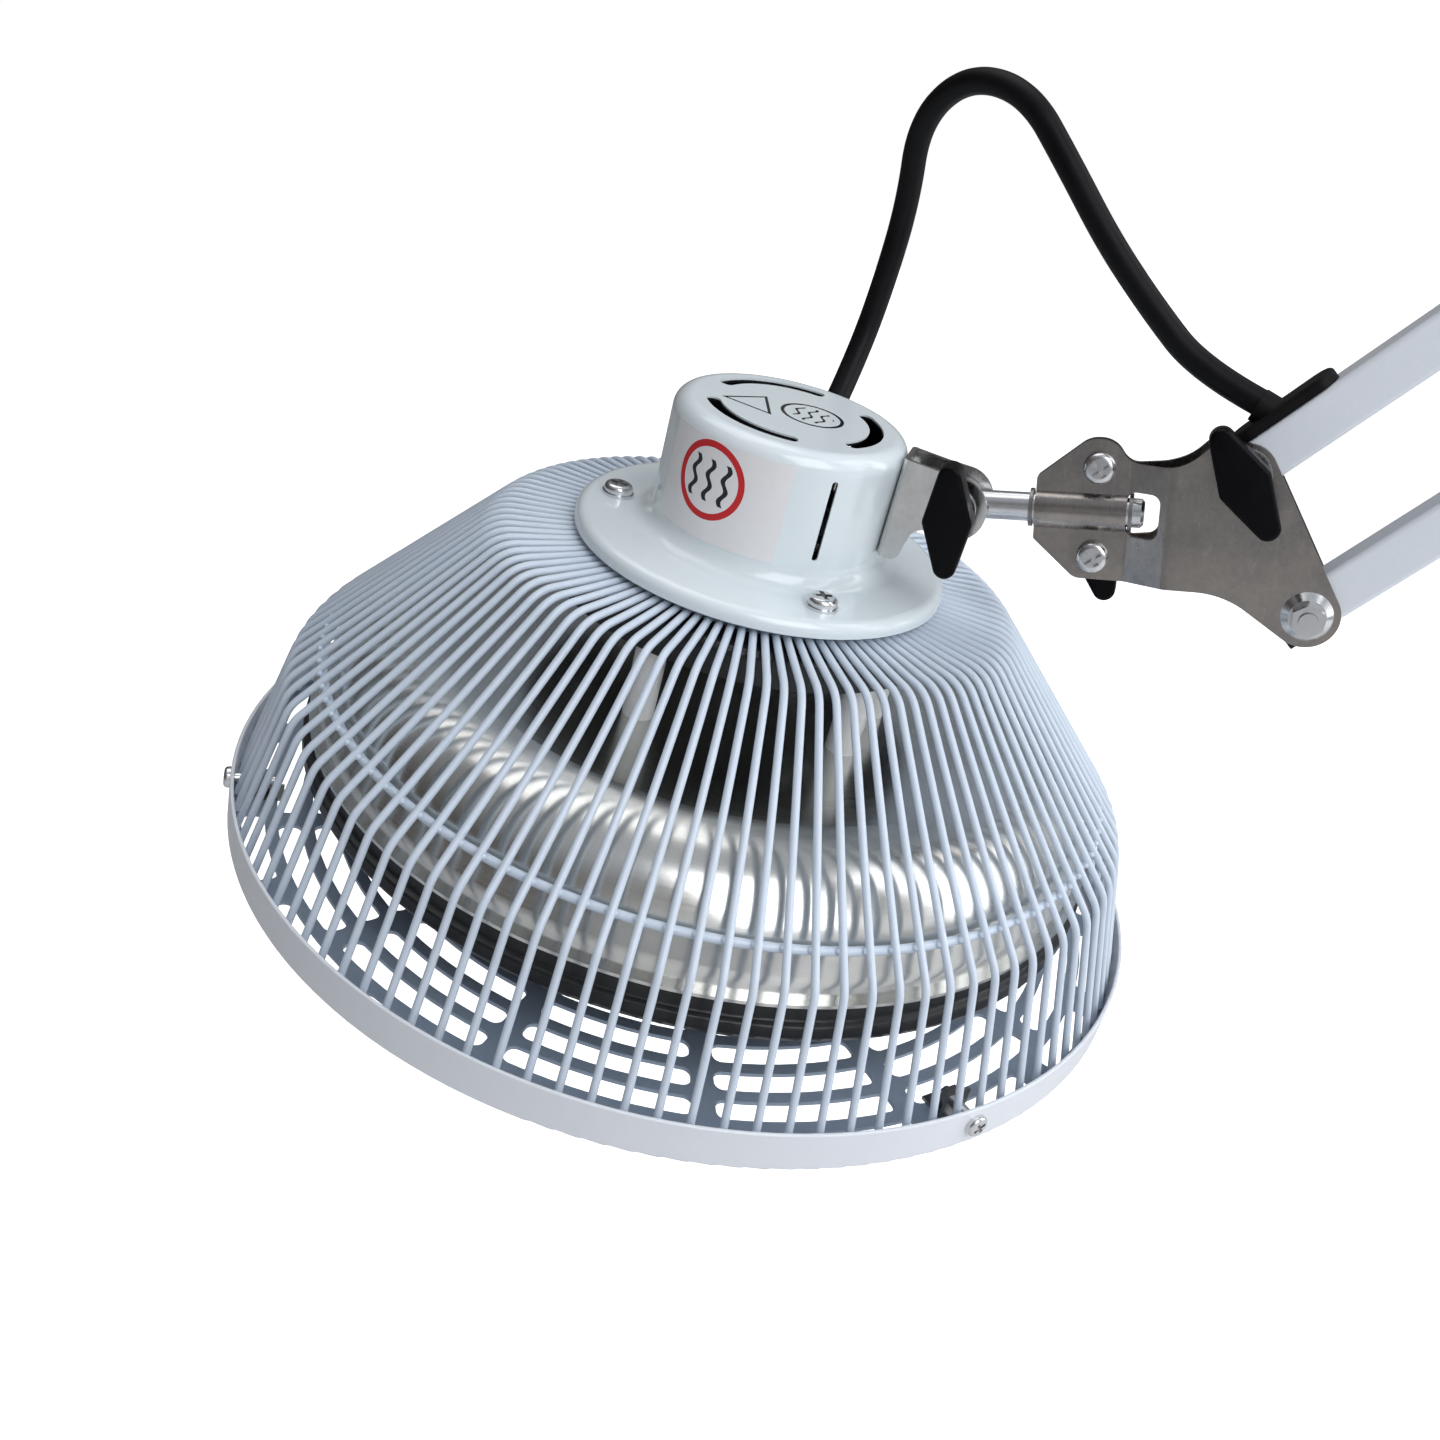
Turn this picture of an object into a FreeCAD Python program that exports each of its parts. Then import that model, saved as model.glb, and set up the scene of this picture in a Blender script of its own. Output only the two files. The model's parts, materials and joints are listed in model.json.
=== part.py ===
import FreeCAD, Part
import math
import os

# Heat lamp head on a parallelogram arm, in millimetres.
# The row frame has its origin on the spigot's axis at the underside of its collar, +Z up,
# with the arms in the XZ plane and the head at -X.

Vec = FreeCAD.Vector
X, Y, Z = Vec(1, 0, 0), Vec(0, 1, 0), Vec(0, 0, 1)
ORIGIN = Vec(0, 0, 0)

# ---- pose at rest ----
arm_angle = 40.0            # rise of the arms from head to spigot
head_tilt = 15.1            # lean of the head about the tilt bolt
head_roll = 5.4             # turn of the head about the stem

# ---- guard, in the head's frame: z = 0 is the rim's lower edge, x points to the stem ----
rim_radius = 145.0
rim_height = 12.4
rim_wall = 1.2
rim_lip = 3.5
rim_screw_gaps = (15.5, -17.5, 51.5)   # each rim screw, counted in wires from the first
rim_screw_z = 7.0
wire_count = 105
wire_radius = 1.1
ring_wire_radius = 1.25
weld_gap = 0.02
shoulder_radius, shoulder_z = 78.0, 101.2
knee_radius, knee_z = 131.0, 46.0
wire_bend = 11.0
wire_start = -92.3                  # where the first wire stands
ring_wire_z = 54.0
grille_thickness = 1.2
slot_width = 6.8
slot_pitch = 10.5
slot_corner = 2.6
outer_slot_row = rim_radius - 7.25
# each zone of the grille, from the rim in: rows, slots in a row, metal between slots, turn
slot_zones = [(1, 20, 10.8, -32.7), (5, 14, 6.2, -30.8), (6, 7, 6.2, -17.9)]

# ---- cap ----
cap_radius = 34.5
cap_top = 148.5
cap_wall = 1.2
cap_edge_round = 5.0
flange_radius = cap_radius + 21.5
hub_inner, hub_step, hub_outer = flange_radius - 17.0, flange_radius - 7.5, flange_radius - 2.5
flange_top = 110.0
flange_lip_z = 105.6
flange_flare = 5.7
cap_screw_circle = (cap_radius + flange_radius) / 2
cap_screw_angle = -53.0
vent_inner, vent_outer, vent_span, vent_angle = 22.0, 26.2, 84.0, 5.0
slit_low, slit_high, slit_width = 118.5, 142.0, 1.8

# ---- base pan, posts and reflector ----
pan_radius, pan_low, pan_wall = flange_radius + 5.0, 91.5, 1.0
pan_top = 100.9
reflector_top = 69.0
reflector_radius, reflector_low = 122.0, 36.5
reflector_corner, reflector_round = 112.0, 30.0
reflector_side_z = 42.0
reflector_wall = 1.0
reflector_bead = 2.2
post_circle, post_radius = 55.0, 4.5
post_angles = (-37.6, -102.6, 77.4, 142.4)
weld_nut_height, weld_nut_flats = 3.5, 7.0

# ---- emitter ----
ring_low, ring_top = 24.5, 35.5
ring_outer, ring_step_radius, ring_step_z = 125.5, 123.4, 30.0
ring_inner = 82.5
ring_wall = 1.0
plate_radius, plate_thickness = 85.5, 4.0
former_thickness = 8.0
insulation_thickness = 12.0
stack_radius = 84.0
coil_rows, coil_pitch, coil_first, coil_radius = 5, 16.0, 14.4, 1.9
back_plate_radius = 97.0
heater_screw_circle = 92.0
lead_circle, lead_angle, lead_half_gap, lead_radius = 46.0, -15.0, 6.0, 1.2
lead_pass = cap_radius - 4.0                    # where the leads go up through the pan

# ---- tilt joint, in the head's frame ----
pivot_reach, pivot_z = cap_radius + 17.4, 138.0
bracket_width, bracket_sheet = 14.0, 1.5
bracket_low, bracket_high = 118.0, 147.5
ear_radius = 9.0
eye_radius, eye_gap = 6.5, 0.3
bolt_radius, hole_play = 2.5, 0.1

# ---- stem and front clamp, measured from the tilt bolt ----
stem_radius, stem_fit = 4.0, 0.06
stem_end = 51.0
sheet = 1.5                   # stamped bracket plates
clamp_half_gap = 0.7
clamp_start, clamp_end = 21.7, 46.3
clamp_screw_x, clamp_screw_z = 38.3, 12.3
window_end, window_half = 55.0, 6.2
front_ramp = (47.3, 58.3)
upper_pivot_x, upper_pivot_z = 75.3, 13.2
pivot_dx, pivot_dz = 20.0, -36.5    # from an upper pivot to the lower one
pivot_round = 8.5

# ---- arms ----
arm_length = 380.0            # between pivots
tube_side, tube_wall, tube_round = 12.5, 1.2, 1.5
tube_overhang = 7.0
tube_play = 0.5               # on each side, between tube and plate
sleeve_radius, sleeve_fit = 4.0, 0.05
plug_length, plug_cap, plug_play = 16.0, 1.5, 0.1

# ---- rear clamp and spigot ----
spigot_radius, spigot_fit = 6.0, 0.06
spigot_reach = 40.0
collar_radius, collar_height = 10.0, 4.0
swivel_washer = 1.0
barrel_length = 26.0
rear_pivot_x = -75.0
rear_ramp = (-42.0, -31.0)
rear_screw_gap = 8.3          # from the spigot's wall to a clamp screw

# ---- knobs ----
knob_half_length, knob_half_width = 24.5, 6.9
knob_tip_round, knob_side_round = 3.2, 2.5
knob_thickness, knob_hub, knob_hub_radius = 8.0, 5.0, 5.6
knob_washer, knob_edge = 1.0, 1.2
cup_height = 1.8              # dished washers of the arm pivots

# ---- cord: points chosen by hand, measured from the tilt bolt ----
cord_radius = 3.6
gland_angle, gland_z, gland_rise, gland_length = 85.0, 132.0, 50.0, 14.0
cord_lead = 17.7              # straight out of the gland before the first of these points
cord_route = [
    (-33.7, 53.5, 56.3), (-26.9, 50.6, 79.2), (-23.0, 43.0, 102.1), (-7.9, 30.6, 113.1),
    (10.3, 18.7, 108.1), (23.0, 13.7, 89.2), (35.0, 9.3, 70.3), (48.1, 6.0, 53.6), (61.3, 2.7, 38.9),
]
cord_breaks = (4, 7)          # the cord's three stretches meet half way along these runs
grommet_length, grommet_width, grommet_height = 30.0, 11.5, 3.2
grommet_start = 2.0
grommet_slot_length, grommet_slot_width = 14.0, 7.0
cord_entry = 13.5             # along the arm from the pivot


# ==== geometry helpers ====

def turned(shape, axis, degrees, centre=ORIGIN):
    """A copy turned about an axis."""
    copy = shape.copy()
    copy.rotate(centre, axis, degrees)
    return copy


def moved(shape, offset):
    """A copy moved by a vector."""
    copy = shape.copy()
    copy.translate(offset)
    return copy


def polar(radius, degrees, z=0.0):
    """A point at a radius and an angle about Z."""
    angle = math.radians(degrees)
    return Vec(radius * math.cos(angle), radius * math.sin(angle), z)


def rod(start, end, radius):
    """A solid cylinder from one point to another."""
    return Part.makeCylinder(radius, (end - start).Length, start, end - start)


def tube(start, end, outer, inner):
    """A hollow cylinder from one point to another."""
    return rod(start, end, outer).cut(rod(start, end, inner))


def hexagon(start, end, flats):
    """A hexagonal bar from one point to another, by its width across flats."""
    direction = (end - start).normalize()
    side = direction.cross(X if abs(direction.x) < 0.9 else Z).normalize()
    corner = start + side * (flats / math.sqrt(3))
    points = []
    for k in range(7):
        turn = FreeCAD.Rotation(direction, 60.0 * k)
        points.append(start + turn.multVec(corner - start))
    return Part.Face(Part.makePolygon(points)).extrude(end - start)


def rounded_edges(points, radii, closed=False):
    """Straight runs joined by tangent arcs: one radius for each corner, 0 for a sharp one."""
    count = len(points)
    stations = []
    for i, point in enumerate(points):
        radius = radii[i]
        if radius <= 0 or (not closed and i in (0, count - 1)):
            stations.append((point, None, point))
            continue
        back = (points[i - 1] - point).normalize()
        ahead = (points[(i + 1) % count] - point).normalize()
        half = back.getAngle(ahead) / 2
        inward = (back + ahead).normalize()
        middle = point + inward * (radius / math.sin(half) - radius)
        reach = radius / math.tan(half)
        stations.append((point + back * reach, middle, point + ahead * reach))
    edges = []
    for i, (enter, middle, leave) in enumerate(stations):
        if middle is not None:
            edges.append(Part.Arc(enter, middle, leave).toShape())
        if i == count - 1 and not closed:
            break
        following = stations[(i + 1) % count][0]
        if (following - leave).Length > 1e-6:
            edges.append(Part.LineSegment(leave, following).toShape())
    return edges


def rounded_face(points, radii):
    """A flat face with rounded corners."""
    return Part.Face(Part.Wire(rounded_edges(points, radii, closed=True)))


def offset_corners(points, radii, distance):
    """Moves an open outline of (u, v) pairs to its left, with the corner radii that keep it parallel."""
    count = len(points)
    normals = []
    for (u0, v0), (u1, v1) in zip(points, points[1:]):
        length = math.hypot(u1 - u0, v1 - v0)
        normals.append(((v0 - v1) / length, (u1 - u0) / length))
    new_points, new_radii = [], []
    for i, (u, v) in enumerate(points):
        a = normals[max(i - 1, 0)]
        b = normals[min(i, count - 2)]
        stretch = distance / (1 + a[0] * b[0] + a[1] * b[1])
        new_points.append((u + (a[0] + b[0]) * stretch, v + (a[1] + b[1]) * stretch))
        turn = a[0] * b[1] - a[1] * b[0]
        change = -distance if turn > 0 else distance
        new_radii.append(max(radii[i] + change, 0.0) if radii[i] > 0 else 0.0)
    return new_points, new_radii


def sheet_face(points, radii, distance, plane):
    """The section of a bent sheet: an outline and its parallel, closed at the ends."""
    inner_points, inner_radii = offset_corners(points, radii, distance)
    outer = [plane(u, v) for u, v in points]
    inner = [plane(u, v) for u, v in reversed(inner_points)]
    edges = rounded_edges(outer, radii) + [Part.makeLine(outer[-1], inner[0])]
    edges += rounded_edges(inner, list(reversed(inner_radii))) + [Part.makeLine(inner[-1], outer[0])]
    return Part.Face(Part.Wire(edges))


def radial(u, v):
    """A (radius, height) pair as a point of the half plane that is turned about Z."""
    return Vec(u, 0, v)


def spun_sheet(points, radii, distance):
    """A sheet-metal shell of revolution about Z."""
    return sheet_face(points, radii, distance, radial).revolve(ORIGIN, Z, 360)


def turned_solid(points, radii=None):
    """A solid of revolution about Z from a closed (radius, height) outline."""
    radii = radii or [0.0] * len(points)
    return rounded_face([radial(u, v) for u, v in points], radii).revolve(ORIGIN, Z, 360)


def swept(points, radii, radius):
    """A round bar along straight runs joined by tangent arcs."""
    path = Part.Wire(rounded_edges(points, radii))
    start, direction = points[0], points[1] - points[0]
    section = Part.Wire(Part.makeCircle(radius, start, direction))
    return path.makePipeShell([section], True, True)


def box_between(low, high):
    """An upright box from its lowest to its highest corner."""
    size = Vec(*high) - Vec(*low)
    return Part.makeBox(size.x, size.y, size.z, Vec(*low))


def bars(shape, count, axis=Z):
    """Copies of a shape spaced evenly in a circle."""
    return [turned(shape, axis, 360.0 * k / count) for k in range(count)]


def pan_screw(seat, direction, head_radius, head_height, shank_radius, length):
    """A pan-head screw: its head stands out of the seat and its shank goes the other way."""
    out = Vec(direction).normalize()
    head = rod(seat, seat + out * head_height, head_radius)
    top_edges = [e for e in head.Edges if len(e.Vertexes) == 1
                 and abs((e.CenterOfMass - seat).dot(out) - head_height) < 1e-6]
    head = head.makeFillet(head_height * 0.6, top_edges)
    side = out.cross(X if abs(out.x) < 0.7 else Y).normalize()
    side = FreeCAD.Rotation(out, 35).multVec(side)
    across = out.cross(side)
    top = seat + out * head_height
    for a, b in ((side, across), (across, side)):
        wide, thin, deep = head_radius * 0.58, head_radius * 0.16, head_height * 0.7
        corners = [top + a * (s * wide) + b * (t * thin) for s, t in ((-1, -1), (1, -1), (1, 1), (-1, 1))]
        recess = Part.Face(Part.makePolygon(corners + corners[:1])).extrude(out * -deep)
        head = head.cut(recess)
    return head.fuse(rod(seat, seat - out * length, shank_radius)).removeSplitter()


def on_head(shape):
    """Places a shape from the head's frame in the row frame."""
    return placed(shape, head_place)


def placed(shape, placement):
    """A copy moved by a placement."""
    copy = shape.copy()
    copy.Placement = placement.multiply(copy.Placement)
    return copy


nodes = {}


def keep(name, solids, placement=FreeCAD.Placement()):
    """Writes a node's solids, placed in the row frame."""
    shapes = [placed(s, placement) for s in (solids if isinstance(solids, list) else [solids])]
    loose = [solid for shape in shapes for solid in shape.Solids]
    shape = loose[0] if len(loose) == 1 else Part.makeCompound(loose)
    shape.exportStep("parts/%s.step" % name)
    nodes[name] = shape


# ==== where things are in the row frame ====

sheet_inside = tube_side / 2 + tube_play      # half the gap between two bracket plates
sheet_outside = sheet_inside + sheet
spigot_top = collar_height + 2 * swivel_washer + barrel_length
barrel_mid = collar_height + swivel_washer + barrel_length / 2

arm_rise = math.radians(arm_angle)
along_arm = Vec(math.cos(arm_rise), 0, math.sin(arm_rise))
pivot_step = Vec(pivot_dx, 0, pivot_dz)
rear_upper = Vec(rear_pivot_x, 0, barrel_mid - pivot_dz / 2)
rear_lower = rear_upper + pivot_step
front_upper = rear_upper - along_arm * arm_length
front_lower = front_upper + pivot_step
tilt_pivot = front_upper - Vec(upper_pivot_x, 0, upper_pivot_z)

roll_turn = FreeCAD.Rotation(X, head_roll)
front_place = FreeCAD.Placement(tilt_pivot, FreeCAD.Rotation())
stem_place = FreeCAD.Placement(tilt_pivot, roll_turn)
head_turn = roll_turn.multiply(FreeCAD.Rotation(Y, head_tilt))
head_place = FreeCAD.Placement(tilt_pivot, head_turn).multiply(
    FreeCAD.Placement(Vec(-pivot_reach, 0, -pivot_z), FreeCAD.Rotation()))
upper_arm_place = FreeCAD.Placement(front_upper, FreeCAD.Rotation(Y, -arm_angle))
lower_arm_place = FreeCAD.Placement(front_lower, FreeCAD.Rotation(Y, -arm_angle))
row_place = FreeCAD.Placement()


# ==== guard ====

hub_wire_z = shoulder_z + 1.9


def guard_hub():
    """The hub ring: its step covers the wires' inner ends."""
    hub_top, hub_low = flange_top - cap_wall, pan_top
    seat_z = hub_wire_z + wire_radius + weld_gap
    hub = turned_solid([(hub_inner, hub_low), (hub_step, hub_low), (hub_step, seat_z),
                        (hub_outer, seat_z), (hub_outer, seat_z + 1.5), (hub_step, seat_z + 1.5),
                        (hub_step, hub_top), (hub_inner, hub_top)])
    return hub.cut(Part.makeCompound(bars(cap_screw_hole(), 3)))


def wire_path():
    """The corners of a guard wire, from the hub to the rim."""
    foot_radius = rim_radius - rim_wall - wire_radius - weld_gap
    foot_z = rim_wall + grille_thickness + 2.0
    return [Vec(hub_step + 0.3, 0, hub_wire_z), Vec(shoulder_radius, 0, shoulder_z),
            Vec(knee_radius, 0, knee_z), Vec(foot_radius, 0, foot_z)]


def guard_wires():
    """Bent wires from the hub down to the rim."""
    wire = swept(wire_path(), [0, wire_bend, wire_bend, 0], wire_radius)
    return bars(turned(wire, Z, wire_start), wire_count)


def guard_ring():
    """The ring inside the wires that ties them."""
    path = wire_path()
    slope = path[2] - path[1]
    inward = Vec(slope.z, 0, -slope.x).normalize()
    on_wire = path[1] + slope * ((ring_wire_z - shoulder_z) / slope.z)
    centre = on_wire + inward * (wire_radius + ring_wire_radius)
    return Part.makeTorus(centre.x, ring_wire_radius, Vec(0, 0, centre.z))


def cap_screw_hole():
    """The hole that a cap screw needs, through flange, hub and pan."""
    return rod(polar(cap_screw_circle, cap_screw_angle, pan_top - 3),
               polar(cap_screw_circle, cap_screw_angle, flange_top + 3), 2.0 + hole_play)


def rim_screw_hole():
    """The hole that a rim screw needs."""
    return rod(Vec(rim_radius - 14, 0, rim_screw_z), Vec(rim_radius + 2, 0, rim_screw_z), 1.75 + hole_play)


def round_rim(shape):
    """Copies of a shape at the rim's screws."""
    return [turned(shape, Z, wire_start + 360.0 / wire_count * gap) for gap in rim_screw_gaps]


def guard_band():
    """The rolled rim with a small inward lip that carries the grille."""
    wall = turned_solid([(rim_radius, 0), (rim_radius, rim_height), (rim_radius - rim_wall, rim_height),
                         (rim_radius - rim_wall, rim_wall), (rim_radius - rim_lip, rim_wall),
                         (rim_radius - rim_lip, 0)], [0.8, 0.5, 0.5, 0, 0, 0])
    return wall.cut(Part.makeCompound(round_rim(rim_screw_hole())))


def arc_slot(mid_radius, width, degrees, corner, low, high):
    """A slot that follows a circle, centred on the X axis."""
    half = degrees / 2
    inner, outer = mid_radius - width / 2, mid_radius + width / 2
    edges = [Part.Arc(polar(outer, -half), polar(outer, 0), polar(outer, half)).toShape(),
             Part.makeLine(polar(outer, half), polar(inner, half)),
             Part.Arc(polar(inner, half), polar(inner, 0), polar(inner, -half)).toShape(),
             Part.makeLine(polar(inner, -half), polar(outer, -half))]
    slot = Part.Face(Part.Wire(edges)).extrude(Vec(0, 0, high - low))
    upright = [e for e in slot.Edges if abs(e.BoundBox.ZLength - (high - low)) < 1e-6
               and e.BoundBox.DiagonalLength < high - low + 1e-6]
    return moved(slot.makeFillet(corner, upright), Vec(0, 0, low))


def grille_plate():
    """A stamped disc with rows of curved slots."""
    low = rim_wall + 0.05
    high = low + grille_thickness
    disc = rod(Vec(0, 0, low), Vec(0, 0, high), rim_radius - rim_wall - 0.3)
    cuts = []
    mid = outer_slot_row
    for rows, slots, bridge, turn in slot_zones:
        for _ in range(rows):
            span = 360.0 / slots - math.degrees(bridge / mid)
            slot = arc_slot(mid, slot_width, span, slot_corner, low - 1, high + 1)
            cuts += bars(turned(slot, Z, turn), slots)
            mid -= slot_pitch
    return disc.cut(Part.makeCompound(cuts))


def rim_screws():
    """Small pan-head screws through the rim."""
    return round_rim(pan_screw(Vec(rim_radius, 0, rim_screw_z), X, 3.3, 2.0, 1.7, 13.0))


def rim_clips():
    """Folded clips with nuts that hold the grille to the rim screws."""
    face = rim_radius - 9.0
    low = rim_wall + 0.05 + grille_thickness
    foot = box_between((face - 7, -4, low), (face + 1.2, 4, low + 1.0))
    upright = box_between((face, -4, low), (face + 1.2, 4, low + 8.5))
    nut = hexagon(Vec(face - 2.6, 0, rim_screw_z), Vec(face, 0, rim_screw_z), 6.0)
    clip = foot.fuse([upright, nut])
    clip = clip.cut(rod(Vec(face - 9, 0, rim_screw_z), Vec(face + 3, 0, rim_screw_z), 1.75))
    return round_rim(clip.removeSplitter())


# ==== cap ====

def gland_axis():
    """Where the cord gland crosses the cap's wall, and which way it points."""
    foot = polar(cap_radius, gland_angle, gland_z)
    rise = math.radians(gland_rise)
    direction = polar(math.cos(rise), gland_angle, math.sin(rise))
    return foot, direction


def cap_housing():
    """The spun cap with its flange, vents, slits and holes."""
    outline = [(0, cap_top), (cap_radius, cap_top), (cap_radius, flange_top),
               (flange_radius, flange_top), (flange_radius, flange_lip_z)]
    shell = spun_sheet(outline, [0, cap_edge_round, flange_flare, 3.0, 0], -cap_wall)
    vent_mid, vent_width = (vent_inner + vent_outer) / 2, vent_outer - vent_inner
    vent = arc_slot(vent_mid, vent_width, vent_span, vent_width * 0.45, cap_top - 3, cap_top + 3)
    slit = box_between((cap_radius - 3, -slit_width / 2, slit_low),
                       (cap_radius + 3, slit_width / 2, slit_high))
    slit = slit.makeFillet(slit_width * 0.45, [e for e in slit.Edges if e.BoundBox.XLength > 5])
    cuts = bars(turned(vent, Z, vent_angle), 3) + bars(turned(slit, Z, cap_screw_angle), 3)
    cuts += bars(cap_screw_hole(), 3)
    foot, direction = gland_axis()
    cuts.append(rod(foot - direction * 9, foot + direction * 9, 5.5))
    for z in rivet_heights:
        cuts.append(rod(Vec(cap_radius - 4, 0, z), Vec(cap_radius + 4, 0, z), 2.0))
    return shell.cut(Part.makeCompound(cuts))


rivet_heights = (bracket_low + 6.5, bracket_high - 7.5)


def cap_screws():
    """Pan-head screws with washers that hold cap, guard and pan together."""
    seat = polar(cap_screw_circle, cap_screw_angle, flange_top)
    washer = tube(seat, seat + Z * 0.8, 4.8, 2.1)
    screw = pan_screw(seat + Z * 0.8, Z, 4.3, 2.6, 2.0, flange_top - pan_top + 5)
    return bars(washer, 3) + bars(screw, 3)


def cord_gland():
    """A rubber strain relief that fits in the cap's wall and points up and back."""
    foot, direction = gland_axis()
    cap_outside = rod(Vec(0, 0, flange_top), Vec(0, 0, cap_top + 40), cap_radius + 0.02)
    cap_inside = rod(Vec(0, 0, flange_top), Vec(0, 0, cap_top), cap_radius - cap_wall - 0.02)
    boot = Part.makeCone(8.0, 5.0, gland_length + 4, foot - direction * 4, direction).cut(cap_outside)
    neck = rod(foot - direction * 7, foot + direction * gland_length, 5.4)
    flange = rod(foot - direction * 11, foot - direction * 2, 7.2).common(cap_inside)
    return boot.fuse([neck, flange]).removeSplitter()


# ==== base pan and reflector ====

def base_pan():
    """A black dish under the cap that everything hangs from."""
    outline = [(0, pan_top), (pan_radius, pan_top), (pan_radius, pan_low)]
    pan = spun_sheet(outline, [0, 2.5, 0], -pan_wall)
    cuts = bars(cap_screw_hole(), 3) + lead_holes(2.6, pan_top - 4, pan_top + 4, lead_pass)
    cuts += [rod(polar(post_circle, a, pan_top - 4), polar(post_circle, a, pan_top - pan_wall * 0.5), 2.05)
             for a in post_angles]
    return pan.cut(Part.makeCompound(cuts))


def weld_nuts():
    """Nuts welded under the pan, one above each post."""
    top = pan_top - pan_wall
    return [hexagon(polar(post_circle, a, top - weld_nut_height), polar(post_circle, a, top),
                    weld_nut_flats).cut(rod(polar(post_circle, a, top - 10), polar(post_circle, a, top + 1), 2.05))
            for a in post_angles]


def ceramic_posts():
    """White ceramic spacers between pan and reflector."""
    high = pan_top - pan_wall - weld_nut_height
    return [tube(polar(post_circle, a, reflector_top), polar(post_circle, a, high), post_radius, 2.1)
            for a in post_angles]


def post_screws():
    """Long screws from inside the reflector, up through the posts into the weld nuts."""
    seat_z = reflector_top - reflector_wall
    length = pan_top - pan_wall - seat_z - 0.5
    return [pan_screw(polar(post_circle, a, seat_z), Vec(0, 0, -1), 3.8, 2.6, 2.0, length)
            for a in post_angles]


def lead_holes(radius, low, high, circle=lead_circle):
    """Two holes for the heater's leads."""
    return [turned(rod(Vec(circle, s * lead_half_gap, low), Vec(circle, s * lead_half_gap, high),
                       radius), Z, lead_angle) for s in (-1, 1)]


def reflector():
    """A spun mirror dome with a bead that sits on the emitter ring."""
    outline = [(0, reflector_top), (reflector_corner, reflector_top), (reflector_radius, reflector_side_z),
               (reflector_radius, reflector_low), (reflector_radius + reflector_bead, reflector_low)]
    dome = spun_sheet(outline, [0, reflector_round, 8.0, 0, 0], -reflector_wall)
    cuts = lead_holes(bushing_neck, reflector_top - 4, reflector_top + 4)
    cuts += [rod(polar(post_circle, a, reflector_top - 4), polar(post_circle, a, reflector_top + 4), 2.1)
             for a in post_angles]
    return dome.cut(Part.makeCompound(cuts))


bushing_neck = 3.2


def lead_bushings():
    """Ceramic bushings where the leads pass the reflector."""
    low, high = reflector_top - 5, reflector_top + 16
    bushing = turned_solid([(lead_radius + 0.1, low), (bushing_neck - 0.05, low),
                            (bushing_neck - 0.05, reflector_top), (4.4, reflector_top),
                            (4.4, high), (lead_radius + 0.1, high)], [0, 0, 0, 0, 1.0, 0])
    return [turned(moved(bushing, Vec(lead_circle, s * lead_half_gap, 0)), Z, lead_angle) for s in (-1, 1)]


def thermal_cutout():
    """A safety switch under the pan."""
    top = pan_top - pan_wall
    body = box_between((-5, -7, top - 15), (5, 7, top))
    body = body.makeFillet(1.2, [e for e in body.Edges if e.BoundBox.ZLength > 10])
    tabs = [box_between((-0.4, s - 2, top - 19), (0.4, s + 2, top - 15)) for s in (-4, 4)]
    return turned(moved(body.fuse(tabs), Vec(47.0, 0, 0)), Z, -72.0)


# ==== emitter ====

def emitter_ring():
    """The black stepped ring that carries the mineral plate."""
    outline = [(ring_inner, ring_low), (ring_outer, ring_low), (ring_outer, ring_step_z),
               (ring_step_radius, ring_step_z + 0.9), (ring_step_radius, ring_top)]
    ring = spun_sheet(outline, [0, 2.2, 0.9, 0.9, 0], ring_wall)
    return ring.cut(Part.makeCompound(bars(heater_screw_hole(), 3)))


def heater_screw_hole():
    """The hole that a heater clamping screw needs."""
    return rod(polar(heater_screw_circle, cap_screw_angle, ring_low - 4),
               polar(heater_screw_circle, cap_screw_angle, back_plate_z + 9), 2.1)


def mineral_plate():
    """The coated disc that gives off the heat, with shallow rings pressed in its face."""
    low = ring_low + ring_wall
    disc = rod(Vec(0, 0, low), Vec(0, 0, low + plate_thickness), plate_radius)
    grooves = [Part.makeTorus(r, 0.9, Vec(0, 0, low)) for r in (20, 36, 52, 68)]
    return disc.cut(Part.makeCompound(grooves))


former_z = ring_low + ring_wall + plate_thickness
coil_z = former_z + 2.4
insulation_z = former_z + former_thickness
back_plate_z = insulation_z + insulation_thickness


def coil_circles():
    """The radii of the heating coil's turns."""
    return [coil_first + coil_pitch * k for k in range(coil_rows)]


def heater_former():
    """A ceramic disc with a groove for each turn of the coil."""
    disc = rod(Vec(0, 0, former_z), Vec(0, 0, insulation_z), stack_radius)
    grooves = [tube(Vec(0, 0, former_z - 1), Vec(0, 0, former_z + 5), r + 2.6, r - 2.6)
               for r in coil_circles()]
    return disc.cut(Part.makeCompound(grooves + lead_holes(lead_radius + 0.1, former_z - 1, insulation_z + 1)))


def heating_coil():
    """The turns of the heating coil, as plain rings of its outside size."""
    return [Part.makeTorus(r, coil_radius, Vec(0, 0, coil_z)) for r in coil_circles()]


def insulation_disc():
    """Ceramic fibre behind the former."""
    disc = rod(Vec(0, 0, insulation_z), Vec(0, 0, back_plate_z), stack_radius)
    return disc.cut(Part.makeCompound(lead_holes(lead_radius + 0.1, insulation_z - 1, back_plate_z + 1)))


def heater_back_plate():
    """A steel disc that clamps the heater's stack to the ring."""
    disc = rod(Vec(0, 0, back_plate_z), Vec(0, 0, back_plate_z + 1.0), back_plate_radius)
    return disc.cut(Part.makeCompound(lead_holes(2.2, back_plate_z - 1, back_plate_z + 2)
                                      + bars(heater_screw_hole(), 3)))


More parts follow.
